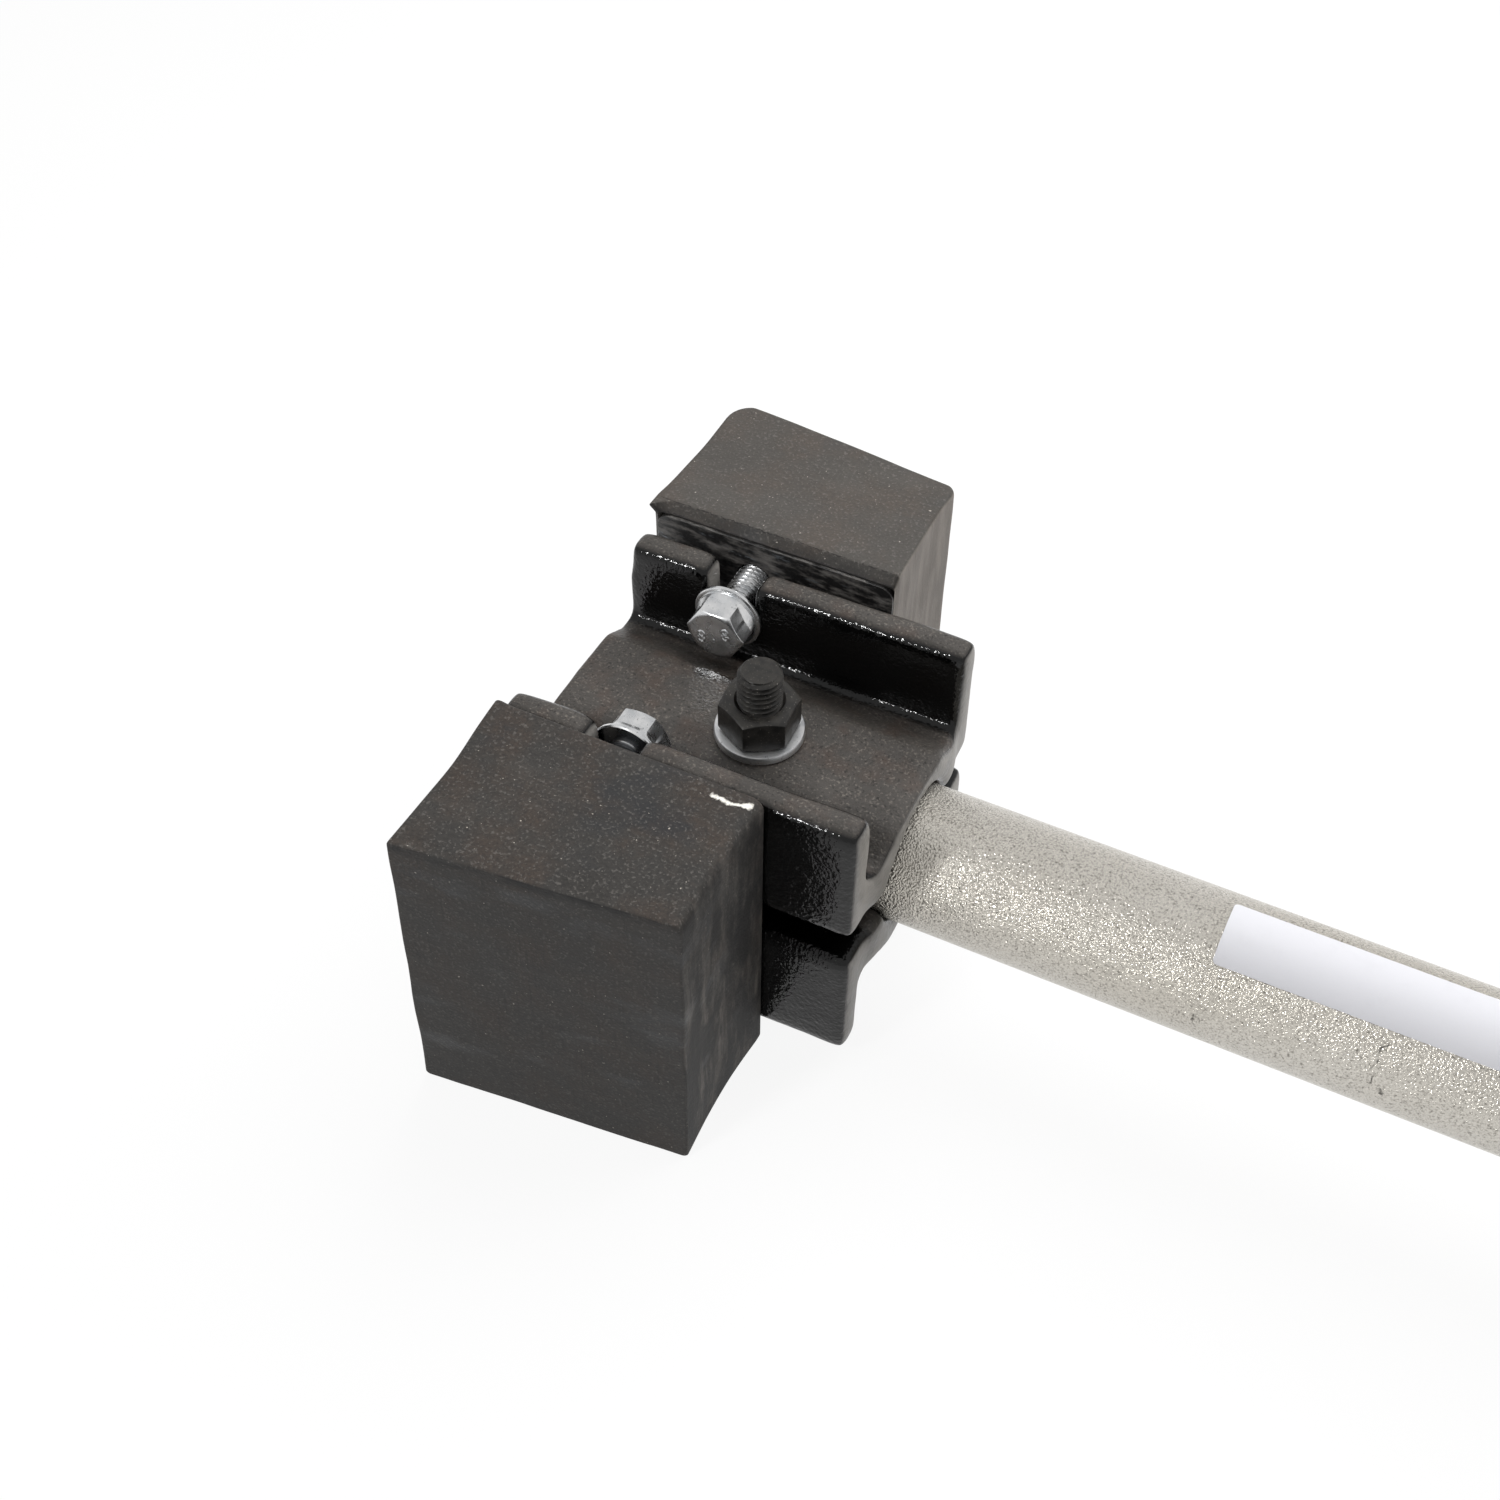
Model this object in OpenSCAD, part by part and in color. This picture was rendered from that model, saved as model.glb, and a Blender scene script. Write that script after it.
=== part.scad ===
// Straightening hammer: two cast halves clamped round a tube handle by one through bolt,
// with a rubber faced block bolted to each side of the head.
// Frame: the origin is where the clamp bolt crosses the handle axis, +X runs along the
// handle to its free end, +Y points to the back block and +Z points up along the clamp bolt.
// The name front is used for the block on the -Y side.

/* [Handle] */
// Outside diameter of the handle tube
tube_d = 38; // [30:0.5:44]
// Wall thickness of the handle tube
tube_wall = 3; // [2:0.1:5]
// Length of the handle tube
tube_len = 1000; // [600:5:1300]
// How far the tube end stays back from the far end of the castings
tube_setback = 4; // [3:0.5:12]
// Length of the plug shank inside the tube
plug_shank_len = 14; // [8:0.5:30]
// Thickness of the plug head that covers the tube end
plug_head_t = 2.5; // [1.5:0.1:4]
// How far the edge of the plug head stays inside the tube's outside
plug_head_inset = 0.3; // [0:0.1:1]
// Rounding of the plug's edges
plug_edge_r = 1; // [0.3:0.1:1.2]

/* [Label] */
// Distance from the clamp bolt axis to the start of the label
label_start = 128; // [90:1:300]
// Length of the label along the tube
label_len = 120; // [40:1:200]
// Width of the label round the tube
label_w = 18.5; // [8:0.5:30]
// Thickness of the label film
label_t = 0.2; // [0.1:0.05:0.5]
// Turn of the label's middle from straight up, towards the front
label_turn = 10; // [-60:1:60]

/* [Castings] */
// Reach of the castings from the clamp bolt away from the handle
cast_far = 54.5; // [45:0.5:70]
// Reach of the casting walls from the clamp bolt towards the handle
cast_near = 45.3; // [35:0.1:60]
// How much further the middle of the casting reaches along the handle than its walls
web_lip = 1.3; // [0.5:0.1:4]
// Metal over the crown of the tube
crown_t = 5.3; // [4:0.1:9]
// Height of the walls above the middle of the casting
wall_rise = 20.2; // [17:0.1:26]
// Thickness of the walls
wall_t = 9.9; // [7:0.1:14]
// Distance between the two walls
trough_w = 58; // [54:0.1:80]
// Half width of the flat crown over the tube
crown_half_w = 14.5; // [12:0.1:17]
// How far the trough beside a wall lies below the crown
trough_drop = 5.2; // [1:0.1:7]
// Width of the floor of that trough
trough_floor_w = 5.5; // [4:0.1:8]
// Gap between the two castings when they grip the tube
parting_gap = 8.8; // [3:0.1:12]
// Fillet between a wall and the floor of its trough
foot_fillet = 2.5; // [1:0.1:3.5]
// Rounding of the crown's edges and of the inner corner of a trough
crown_edge_r = 3; // [0.5:0.1:4]
// Rounding of the top edges of a wall
wall_edge_r = 2.2; // [0.5:0.1:3]
// Rounding of the edges at the parting face
parting_edge_r = 1.5; // [0.5:0.1:2.5]

/* [Clamp bolt] */
// Thread diameter of the clamp bolt
clamp_d = 12; // [10:1:14]
// Length of the clamp bolt under its head
clamp_len = 74; // [66:0.5:90]
// Pitch of the clamp bolt thread
clamp_pitch = 1.75; // [1.25:0.25:2]
// Width across the flats of the clamp bolt head and nut
clamp_af = 19; // [17:0.5:22]
// Height of the clamp bolt head
clamp_head_h = 7.5; // [6:0.1:9]
// Height of the clamp nut
clamp_nut_h = 10; // [8:0.1:12]
// Turn of the nut's corners from the direction of the handle
nut_turn = 33; // [0:1:59]
// Outside diameter of the clamp washers
washer_d = 24; // [22:0.5:28]
// Thickness of the clamp washers
washer_t = 2.5; // [1.5:0.1:3]
// Room round the clamp bolt in the castings, the tube and the washers
clamp_play = 0.6; // [0.4:0.05:1]

/* [Side bolts] */
// Thread diameter of the side bolts
side_d = 10; // [8:0.5:11]
// Pitch of the side bolt thread
side_pitch = 1.5; // [1:0.25:1.75]
// Length of the side bolts under their heads
side_len = 30; // [27:0.5:35]
// Width across the flats of the side bolt heads
side_af = 15; // [13:0.5:16]
// Diameter of the flange under the side bolt heads
side_flange_d = 19.8; // [17.5:0.1:21]
// Thickness of that flange at its rim
side_rim_t = 1.4; // [1:0.1:2]
// Height of the cone between the rim and the hexagon
side_cone_h = 2; // [1:0.1:3]
// Height of the side bolt heads with their flanges
side_head_h = 9.4; // [8:0.1:11]
// Height of the side bolt axes above the middle of the casting
side_rise = 9; // [8.8:0.1:10]
// Place of the side bolts along the handle
side_x = -23.5; // [-30:0.5:-20]
// Width of the slots that the side bolts pass through
slot_w = 12.6; // [11.5:0.1:14]
// Room under the bolts to the closed end of their slots
slot_play = 3; // [1:0.1:5]
// Rounding at the mouths of the slots
slot_mouth_r = 3; // [1:0.1:4]
// How far the blocks and their bolts hang below the middle of their slots' play
block_drop = 1.3; // [0:0.1:1.5]

/* [Blocks] */
// Length of a block along the handle
block_w = 77; // [65:0.5:90]
// Height of a block
block_h = 98; // [95:0.5:120]
// Depth of a block at its far end, from the seat to the striking face
block_depth_far = 52.5; // [44:0.5:70]
// Depth of a block at the end towards the handle
block_depth_near = 44; // [36:0.5:60]
// Place of the block's middle along the handle
block_x = -18; // [-20:0.5:-14]
// Rounding of the upright edges of the striking face
block_edge_r = 3; // [1:0.5:8]
// Chamfer of the rubber round the backing plate
rim_chamfer = 2.5; // [1:0.1:4]
// Rubber round the edge of the backing plate
rim_w = 3; // [2:0.1:5]
// How far the backing plate stands out of the rubber
plate_proud = 0.8; // [0.3:0.1:2]
// Thickness of the backing plate
plate_t = 5; // [4:0.1:8]
// Rounding of the corners of the backing plate
plate_corner_r = 4; // [2:0.5:8]
// Width across the flats of the weld nuts
weld_nut_af = 17; // [15.5:0.5:20]
// Height of the weld nuts
weld_nut_h = 8; // [6:0.1:10]
// Room past the end of a side bolt in the rubber
tip_room = 1.5; // [1:0.1:4]
// How far the back block is backed off its seat at rest
back_standoff = 5.5; // [0:0.5:8]

/* [Fits] */
// Gap between the tube and the castings that grip it
grip_fit = 0.05; // [0.02:0.01:0.1]
// Radial clearance of a bolt in its nut
thread_fit = 0.05; // [0.03:0.01:0.1]
// Radial clearance of a plug shank in the tube
plug_fit = 0.1; // [0.05:0.01:0.2]
// Radial clearance of a side bolt in the hole of its plate
plate_hole_fit = 0.3; // [0.2:0.05:0.5]
// Radial clearance of a side bolt in its rubber pocket
pocket_fit = 0.6; // [0.4:0.05:1]
// Clearance of a plate and its weld nuts in the rubber bonded to them
bond_fit = 0.05; // [0.02:0.01:0.1]
// Gap under the label
label_fit = 0.05; // [0.02:0.01:0.1]

/* [Hidden] */
$fn = 96;

// Cuts run past the metal by this much
over = 1;
// Steps of a rounded corner in an outline
corner_steps = 8;
// Slope of the cone that breaks the corners of a hexagon
hex_bevel_angle = 30;
// Diameter of the flat end inside that cone, as a share of the width across the flats
hex_face_share = 0.95;
// Depth of a thread as a share of its pitch
thread_depth_share = 0.6;

tube_r = tube_d / 2;
tube_bore_r = tube_r - tube_wall;
tube_start = -cast_far + tube_setback;
tube_end = tube_start + tube_len;
groove_r = tube_r + grip_fit;
plug_head_r = tube_r - plug_head_inset;

web_top = tube_r + crown_t;
wall_top = web_top + wall_rise;
trough_z = web_top - trough_drop;
inner_y = trough_w / 2;
floor_y = inner_y - trough_floor_w;
lip_y = inner_y - foot_fillet;
seat_y = inner_y + wall_t;
parting_z = parting_gap / 2;

clamp_hole_r = clamp_d / 2 + clamp_play;
washer_top = web_top + washer_t;
clamp_r = clamp_d / 2;

side_r = side_d / 2;
side_z = web_top + side_rise;
slot_end_z = side_z - slot_play;
flange_r = side_flange_d / 2;

plate_w = block_w - 2 * rim_w;
plate_h = block_h - 2 * rim_w;
tip_depth = side_len - wall_t;
block_x0 = block_x - block_w / 2;
block_x1 = block_x + block_w / 2;

// Radius to the corners of a hexagon with the given width across its flats
function hex_corner_r(af) = af / 2 / cos(30);

// Points of an arc that rounds one corner of an outline, from the side that comes in
function unit(v) = v / norm(v);
function corner_arc(before, corner, after, r) =
    let (into = unit(before - corner), out = unit(after - corner),
         half = acos(into * out) / 2,
         reach = r / tan(half),
         centre = corner + unit(into + out) * r / sin(half),
         first = corner + into * reach - centre,
         last = corner + out * reach - centre,
         a0 = atan2(first[1], first[0]),
         turn = atan2(first[0] * last[1] - first[1] * last[0], first * last))
    [for (i = [0:corner_steps]) centre + r * [cos(a0 + turn * i / corner_steps),
                                             sin(a0 + turn * i / corner_steps)]];

// Outline whose corners are given as [x, y, radius], with radius 0 for a sharp corner
function rounded(corners) =
    let (n = len(corners))
    [for (i = [0:n - 1])
        let (c = corners[i], before = corners[(i + n - 1) % n], after = corners[(i + 1) % n])
        each c[2] > 0
            ? corner_arc([before[0], before[1]], [c[0], c[1]], [after[0], after[1]], c[2])
            : [[c[0], c[1]]]];

// Stands a child outline, drawn in Y and Z, along X from x0 to x1
module along_x(x0, x1)
    translate([x0, 0, 0]) rotate([90, 0, 90]) linear_extrude(x1 - x0) children();

// Turns a child that stands on Z so that it points along +Y from the plane y
module along_y(y) translate([0, y, 0]) rotate([-90, 0, 0]) children();

// Hexagonal prism with the corners of its upper end broken by a shallow cone
module hexagon(af, h) {
    face_r = af / 2 * hex_face_share;
    turned_r = hex_corner_r(af) + over;
    bevel_h = (turned_r - face_r) * tan(hex_bevel_angle);
    intersection() {
        cylinder(h = h, r = hex_corner_r(af), $fn = 6);
        rotate_extrude()
            polygon([[0, 0], [turned_r, 0], [turned_r, h - bevel_h], [face_r, h], [0, h]]);
    }
}

// Shank whose end is chamfered down to the root of its thread
module shank(r, length, pitch) {
    chamfer = pitch * thread_depth_share;
    cylinder(h = length - chamfer, r = r);
    translate([0, 0, length - chamfer]) cylinder(h = chamfer, r1 = r, r2 = r - chamfer);
}

// Castings

// Cross-section of the upper casting: a crown over the tube, with a trough and a wall on
// each side of it
module casting_section() {
    right = [[seat_y, parting_z, parting_edge_r],
             [seat_y, wall_top, wall_edge_r],
             [inner_y, wall_top, wall_edge_r],
             [inner_y, trough_z, foot_fillet],
             [floor_y, trough_z, crown_edge_r],
             [crown_half_w, web_top, crown_edge_r]];
    left = [for (i = [len(right) - 1:-1:0]) [-right[i][0], right[i][1], right[i][2]]];
    polygon(rounded(concat(right, left)));
}

// Slot for a side bolt, open at the top of the wall, drawn in X and Z
module slot_outline() {
    half = slot_w / 2;
    translate([0, slot_end_z]) circle(half);
    translate([-half, slot_end_z]) square([slot_w, wall_top - slot_end_z + over]);
    for (side = [-1, 1]) translate([side * half, wall_top])
        difference() {
            translate([side > 0 ? -over : -slot_mouth_r, -slot_mouth_r])
                square([slot_mouth_r + over, slot_mouth_r + over]);
            translate([side * slot_mouth_r, -slot_mouth_r]) circle(slot_mouth_r);
        }
}

// Slot of the back wall
module side_bolt_cut()
    translate([side_x, seat_y + over, 0]) rotate([90, 0, 0])
        linear_extrude(wall_t + 2 * over) slot_outline();

module casting_half() {
    difference() {
        union() {
            along_x(-cast_far, cast_near) casting_section();
            along_x(cast_near - over, cast_near + web_lip) intersection() {
                casting_section();
                translate([-lip_y, 0]) square([2 * lip_y, wall_top]);
            }
        }
        translate([-cast_far - over, 0, 0]) rotate([0, 90, 0])
            cylinder(h = cast_far + cast_near + web_lip + 2 * over, r = groove_r);
        cylinder(h = wall_top, r = clamp_hole_r);
        for (side = [0, 1]) mirror([0, side, 0]) side_bolt_cut();
    }
}

module upper_casting() color("#1c1b1b") casting_half();

module lower_casting() color("#1c1b1b") mirror([0, 0, 1]) casting_half();

// Handle

module handle_tube() {
    color("#b8b2a5") difference() {
        translate([tube_start, 0, 0]) rotate([0, 90, 0]) difference() {
            cylinder(h = tube_len, r = tube_r);
            translate([0, 0, -over]) cylinder(h = tube_len + 2 * over, r = tube_bore_r);
        }
        translate([0, 0, -tube_r - over])
            cylinder(h = tube_d + 2 * over, r = clamp_hole_r);
    }
}

// Plug with its head outside the tube and its shank pointing along +Z into it
module tube_plug() {
    rotate_extrude() polygon(rounded([[0, -plug_head_t, 0], [plug_head_r, -plug_head_t, plug_edge_r],
                                      [plug_head_r, 0, 0], [tube_bore_r - plug_fit, 0, 0],
                                      [tube_bore_r - plug_fit, plug_shank_len, plug_edge_r],
                                      [0, plug_shank_len, 0]]));
}

module handle_end_plug()
    color("#202020") translate([tube_end, 0, 0]) rotate([0, -90, 0]) tube_plug();

module head_end_plug()
    color("#202020") translate([tube_start, 0, 0]) rotate([0, 90, 0]) tube_plug();

module handle_label() {
    inner_r = tube_r + label_fit;
    span = label_w / inner_r * 180 / PI;
    color("white") translate([label_start, 0, 0]) rotate([label_turn, 0, 0])
        rotate([0, 90, 0]) rotate([0, 0, 180 - span / 2])
            rotate_extrude(angle = span) translate([inner_r, 0]) square([label_t, label_len]);
}

// Clamp bolt with its nut and washers

module clamp_bolt() {
    color("#262524") translate([0, 0, -washer_top]) {
        mirror([0, 0, 1]) hexagon(clamp_af, clamp_head_h);
        shank(clamp_r, clamp_len, clamp_pitch);
    }
}

module clamp_nut() {
    color("#262524") translate([0, 0, washer_top]) rotate(nut_turn) difference() {
        hexagon(clamp_af, clamp_nut_h);
        translate([0, 0, -over])
            cylinder(h = clamp_nut_h + 2 * over, r = clamp_r + thread_fit);
    }
}

module clamp_washer() {
    color("#c9cbcc") translate([0, 0, web_top]) difference() {
        cylinder(h = washer_t, r = washer_d / 2);
        translate([0, 0, -over]) cylinder(h = washer_t + 2 * over, r = clamp_hole_r);
    }
}

module clamp_washer_top() clamp_washer();

module clamp_washer_bottom() mirror([0, 0, 1]) clamp_washer();

// Side bolts, drawn for the back wall with the flange on the wall's inner face and
// before they drop in their slots

module side_bolt() {
    color("#c4c6c8") translate([side_x, 0, side_z]) along_y(inner_y) {
        mirror([0, 0, 1]) {
            cylinder(h = side_rim_t, r = flange_r);
            translate([0, 0, side_rim_t])
                cylinder(h = side_cone_h, r1 = flange_r - side_rim_t / 2, r2 = side_af / 2);
            hexagon(side_af, side_head_h);
        }
        shank(side_r, side_len, side_pitch);
    }
}

module weld_nut() {
    color("#8d8f90") translate([side_x, 0, side_z]) along_y(plate_t) difference() {
        cylinder(h = weld_nut_h, r = hex_corner_r(weld_nut_af), $fn = 6);
        translate([0, 0, -over])
            cylinder(h = weld_nut_h + 2 * over, r = side_r + thread_fit);
    }
}

// Blocks, drawn for the back with the seat face of the plate at y = 0

module plate_outline(grow) {
    w = plate_w / 2 + grow;
    h = plate_h / 2 + grow;
    polygon(rounded([[block_x - w, -h, plate_corner_r], [block_x + w, -h, plate_corner_r],
                     [block_x + w, h, plate_corner_r], [block_x - w, h, plate_corner_r]]));
}

module backing_plate() {
    color("#2b2b2c") difference() {
        along_y(0) mirror([0, 1]) linear_extrude(plate_t) plate_outline(0);
        for (side = [-1, 1]) translate([side_x, 0, side * side_z]) along_y(-over)
            cylinder(h = plate_t + 2 * over, r = side_r + plate_hole_fit);
    }
}

// Rubber body seen from above, as a wedge that is shallower towards the handle
module rubber_plan() {
    polygon(rounded([[block_x0 + rim_chamfer, plate_proud, 0],
                     [block_x1 - rim_chamfer, plate_proud, 0],
                     [block_x1, plate_proud + rim_chamfer, 0],
                     [block_x1, block_depth_near, block_edge_r],
                     [block_x0, block_depth_far, block_edge_r],
                     [block_x0, plate_proud + rim_chamfer, 0]]));
}

// Rubber body seen from the side, drawn in Y and Z
module rubber_side() {
    deep = max(block_depth_far, block_depth_near) + over;
    polygon([[plate_proud, -block_h / 2 + rim_chamfer],
             [plate_proud + rim_chamfer, -block_h / 2],
             [deep, -block_h / 2], [deep, block_h / 2],
             [plate_proud + rim_chamfer, block_h / 2],
             [plate_proud, block_h / 2 - rim_chamfer]]);
}

module rubber_block() {
    nut_r = hex_corner_r(weld_nut_af) + bond_fit;
    color("#3a3836") difference() {
        intersection() {
            translate([0, 0, -block_h / 2]) linear_extrude(block_h) rubber_plan();
            along_x(block_x0 - over, block_x1 + over) rubber_side();
        }
        along_y(-over) mirror([0, 1]) linear_extrude(plate_t + bond_fit + over)
            plate_outline(bond_fit);
        for (side = [-1, 1]) translate([side_x, 0, side * side_z]) {
            along_y(plate_t) cylinder(h = weld_nut_h + bond_fit, r = nut_r, $fn = 6);
            along_y(plate_t) cylinder(h = tip_depth - plate_t + tip_room,
                                      r = side_r + pocket_fit);
        }
    }
}

// Lowers the blocks and their bolts in the slots
module dropped() translate([0, 0, -block_drop]) children();

// Places a block's own parts on the back or the front of the head
module back_place() dropped() translate([0, seat_y + back_standoff, 0]) children();

module front_place() dropped() mirror([0, 1, 0]) translate([0, seat_y, 0]) children();

module front_rubber_block() front_place() rubber_block();

module front_backing_plate() front_place() backing_plate();

module front_weld_nut_upper() front_place() weld_nut();

module front_weld_nut_lower() front_place() mirror([0, 0, 1]) weld_nut();

module front_bolt_upper() dropped() mirror([0, 1, 0]) side_bolt();

module front_bolt_lower() dropped() mirror([0, 1, 0]) mirror([0, 0, 1]) side_bolt();

module back_rubber_block() back_place() rubber_block();

module back_backing_plate() back_place() backing_plate();

module back_weld_nut_upper() back_place() weld_nut();

module back_weld_nut_lower() back_place() mirror([0, 0, 1]) weld_nut();

module back_bolt_upper() dropped() side_bolt();

module back_bolt_lower() dropped() mirror([0, 0, 1]) side_bolt();

upper_casting();
lower_casting();
handle_tube();
handle_end_plug();
head_end_plug();
handle_label();
clamp_bolt();
clamp_nut();
clamp_washer_top();
clamp_washer_bottom();
front_rubber_block();
front_backing_plate();
front_weld_nut_upper();
front_weld_nut_lower();
front_bolt_upper();
front_bolt_lower();
back_rubber_block();
back_backing_plate();
back_weld_nut_upper();
back_weld_nut_lower();
back_bolt_upper();
back_bolt_lower();
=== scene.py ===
# %% [markdown]
# # A straightening hammer, dressed for the camera
#
# The tool is a long tube gripped by two black castings. A rubber block is bolted to each
# side of the head. The CAD model already fixes every size, so this script only has to
# add what CAD leaves out: real threads, a cast skin under paint, moulded rubber with
# slightly hollow sides, and the finish of each surface. Everything is in metres when it
# reaches Blender, but lengths are written in millimetres, as they would be on a drawing.

import bmesh
import bpy
import numpy as np
from mathutils import Matrix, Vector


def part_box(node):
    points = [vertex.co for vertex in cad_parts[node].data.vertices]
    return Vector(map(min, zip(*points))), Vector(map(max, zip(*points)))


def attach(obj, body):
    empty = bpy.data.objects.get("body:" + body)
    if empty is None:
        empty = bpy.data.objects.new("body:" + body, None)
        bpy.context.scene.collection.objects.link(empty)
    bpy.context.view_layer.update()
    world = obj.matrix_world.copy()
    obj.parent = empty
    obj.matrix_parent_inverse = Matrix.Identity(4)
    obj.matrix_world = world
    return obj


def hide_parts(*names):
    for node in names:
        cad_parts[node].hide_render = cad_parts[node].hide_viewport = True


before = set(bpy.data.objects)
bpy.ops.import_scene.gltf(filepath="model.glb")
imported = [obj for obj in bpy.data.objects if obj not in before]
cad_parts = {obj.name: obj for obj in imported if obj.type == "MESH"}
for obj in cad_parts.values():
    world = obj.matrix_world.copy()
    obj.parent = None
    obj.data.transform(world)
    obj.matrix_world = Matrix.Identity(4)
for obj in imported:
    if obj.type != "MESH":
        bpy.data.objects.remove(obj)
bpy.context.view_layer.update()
MM = 0.001

# %% [markdown]
# ## Sizes taken from the model
#
# A piece that replaces a CAD node has to fill the same space, so its sizes are read from
# the node's box. Only what a box can't tell, such as a pitch or a chamfer, is written here.

# %% Sizes of the pieces in millimetres
SIDE_WORD = {1: "back", -1: "front"}
LEVEL_WORD = {1: "upper", -1: "lower"}


def span(node):
    """Lowest and highest corner of a CAD node, in mm."""
    low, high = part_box(node)
    return np.array(low) / MM, np.array(high) / MM


def side_level(side, level):
    """Height of a side bolt's axis: side is 1 at the back, level is 1 in the upper casting."""
    low, high = span(f"{SIDE_WORD[side]}_bolt_{LEVEL_WORD[level]}")
    return (low[2] + high[2]) / 2


def plate_inside(side):
    """How far from the middle of the head the inner face of a side's backing plate lies."""
    low, high = span(SIDE_WORD[side] + "_backing_plate")
    return min(abs(low[1]), abs(high[1]))


tube_low, tube_high = span("handle_tube")
tube_radius = tube_high[2]
casting_low, casting_high = span("upper_casting")
seat = casting_high[1]
clamp_low, clamp_high = span("clamp_bolt")
washer_low, washer_high = span("clamp_washer_top")
nut_low, nut_high = span("clamp_nut")
side_low, side_high = span("back_bolt_upper")
side_x = (side_low[0] + side_high[0]) / 2
side_shank = 30.0
bearing = side_high[1] - side_shank
flange_radius = (side_high[0] - side_low[0]) / 2
print(f"tube radius {tube_radius:.1f} mm, seat of the blocks at {seat:.1f} mm")

# %% [markdown]
# ## Camera
#
# The photograph was taken from above and in front of the head, turned a little towards
# the handle. A camera is a place, an aim and a lens. The angles below were fitted to
# edges whose real sizes are known, such as the washer, the tube and the blocks.

# %% Place the camera
PICTURE_WIDTH = 1500
SENSOR_MM = 36.0
focal_pixels = 1983.7
azimuth, elevation, roll = np.radians([26.04, 47.53, 0.47])
distance = 537.07
aim_right, aim_up = 2.35, -11.69


def add_object(name, data):
    """An object that holds data, such as a mesh or a light, put into the scene."""
    object_ = bpy.data.objects.new(name, data)
    bpy.context.scene.collection.objects.link(object_)
    return object_


def set_axes(object_, axes, origin):
    """Turns an object so that its X, Y and Z run along three directions, and moves it."""
    pose = np.eye(4)
    pose[:3, :4] = np.column_stack([*axes, origin])
    object_.matrix_world = Matrix(pose.tolist())


back = np.array([np.sin(azimuth) * np.cos(elevation),
                 -np.cos(azimuth) * np.cos(elevation),
                 np.sin(elevation)])
level = np.array([np.cos(azimuth), np.sin(azimuth), 0.0])
upright = np.cross(back, level)
right = np.cos(roll) * level + np.sin(roll) * upright
up = np.cos(roll) * upright - np.sin(roll) * level
eye = back * distance - right * aim_right - up * aim_up

camera = add_object("camera", bpy.data.cameras.new("camera"))
camera.data.sensor_width = SENSOR_MM
camera.data.lens = SENSOR_MM * focal_pixels / PICTURE_WIDTH
camera.data.clip_start = 0.01
camera.data.clip_end = 50
set_axes(camera, (right, up, back), eye * MM)
bpy.context.scene.camera = camera
print("camera at", np.round(eye), "mm, lens", round(camera.data.lens, 1), "mm")

# %% [markdown]
# ## Nodes and colours
#
# A material is a small graph of nodes. One helper adds a node, sets its properties and
# fills its sockets with a number, a colour or another node's output. Colours are
# written as hex values, as they look on a screen, and turned to the linear values that
# a renderer works in.

# %% Helpers for nodes


def linear(hex_code):
    """A screen colour as linear light, with the piecewise sRGB curve."""
    screen = np.array([int(hex_code[i:i + 2], 16) for i in (1, 3, 5)]) / 255
    light = np.where(screen <= 0.04045, screen / 12.92, ((screen + 0.055) / 1.055) ** 2.4)
    return (*light, 1.0)


def add(tree, kind, *values, named=None, **settings):
    """Adds a node with its settings. Its open sockets are filled in order, and others by
    name, with numbers, hex colours or other nodes' outputs. Returns the node's first open
    output, from which .node leads back to the rest."""
    node = tree.nodes.new("ShaderNode" + kind)
    for name, value in settings.items():
        setattr(node, name, value)
    sockets = [socket for socket in node.inputs if socket.enabled]
    filled = [*zip(sockets, values)] + [(node.inputs[name], value)
                                        for name, value in (named or {}).items()]
    for socket, value in filled:
        if isinstance(value, bpy.types.NodeSocket):
            tree.links.new(value, socket)
        else:
            socket.default_value = linear(value) if isinstance(value, str) else value
    return next((socket for socket in node.outputs if socket.enabled), None)


def new_material(name):
    """An empty material, its node tree and the place on the piece, as a node's output."""
    material = bpy.data.materials.new(name)
    material.use_nodes = True
    tree = material.node_tree
    tree.nodes.clear()
    return material, tree, add(tree, "TexCoord").node.outputs["Object"]


def finish(tree, **sockets):
    """The Principled shader with the given sockets, joined to the output."""
    names = {key.replace("_", " ").title().replace("Ior", "IOR"): value
             for key, value in sockets.items()}
    add(tree, "OutputMaterial", add(tree, "BsdfPrincipled", named=names))


# %% [markdown]
# ## Masks, films and skins
#
# Every finish below is built up as a painter would. A mask is a number from 0 to 1 at
# each point of the surface, and a veil of colour is laid over the last one where its
# mask is 1. Most masks come from noise of a real size in millimetres, some from the
# place or the direction of the surface, and a few are single marks at chosen places. A
# skin is a fine relief that only bends the light, because it is too small to model.

# %% Noise of a real size


def noise(tree, place, size_mm, detail=2.0, rough=0.5, stretch=(1, 1, 1)):
    """Noise whose lumps are about size_mm across; stretch draws it out along an axis."""
    squeezed = add(tree, "Mapping", named={"Vector": place, "Scale": [1 / s for s in stretch]})
    return add(tree, "TexNoise", squeezed, 1 / (size_mm * MM), detail, rough)


def patches(tree, place, size_mm, low, high, least=0.0, most=1.0, **form):
    """Patches of a real size: noise with its values from low to high spread to least..most."""
    return add(tree, "MapRange", noise(tree, place, size_mm, **form), low, high, least, most)


# %% Mix masks, films and skins


def overlap(tree, *masks):
    """1 where every mask is 1: the masks multiplied. A plain number among them thins them."""
    shared = masks[0]
    for mask in masks[1:]:
        shared = add(tree, "Math", shared, mask, operation="MULTIPLY")
    return shared


def either(tree, *masks):
    """1 where any mask is 1: the largest of the masks."""
    largest = masks[0]
    for mask in masks[1:]:
        largest = add(tree, "Math", largest, mask, operation="MAXIMUM")
    return largest


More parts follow.
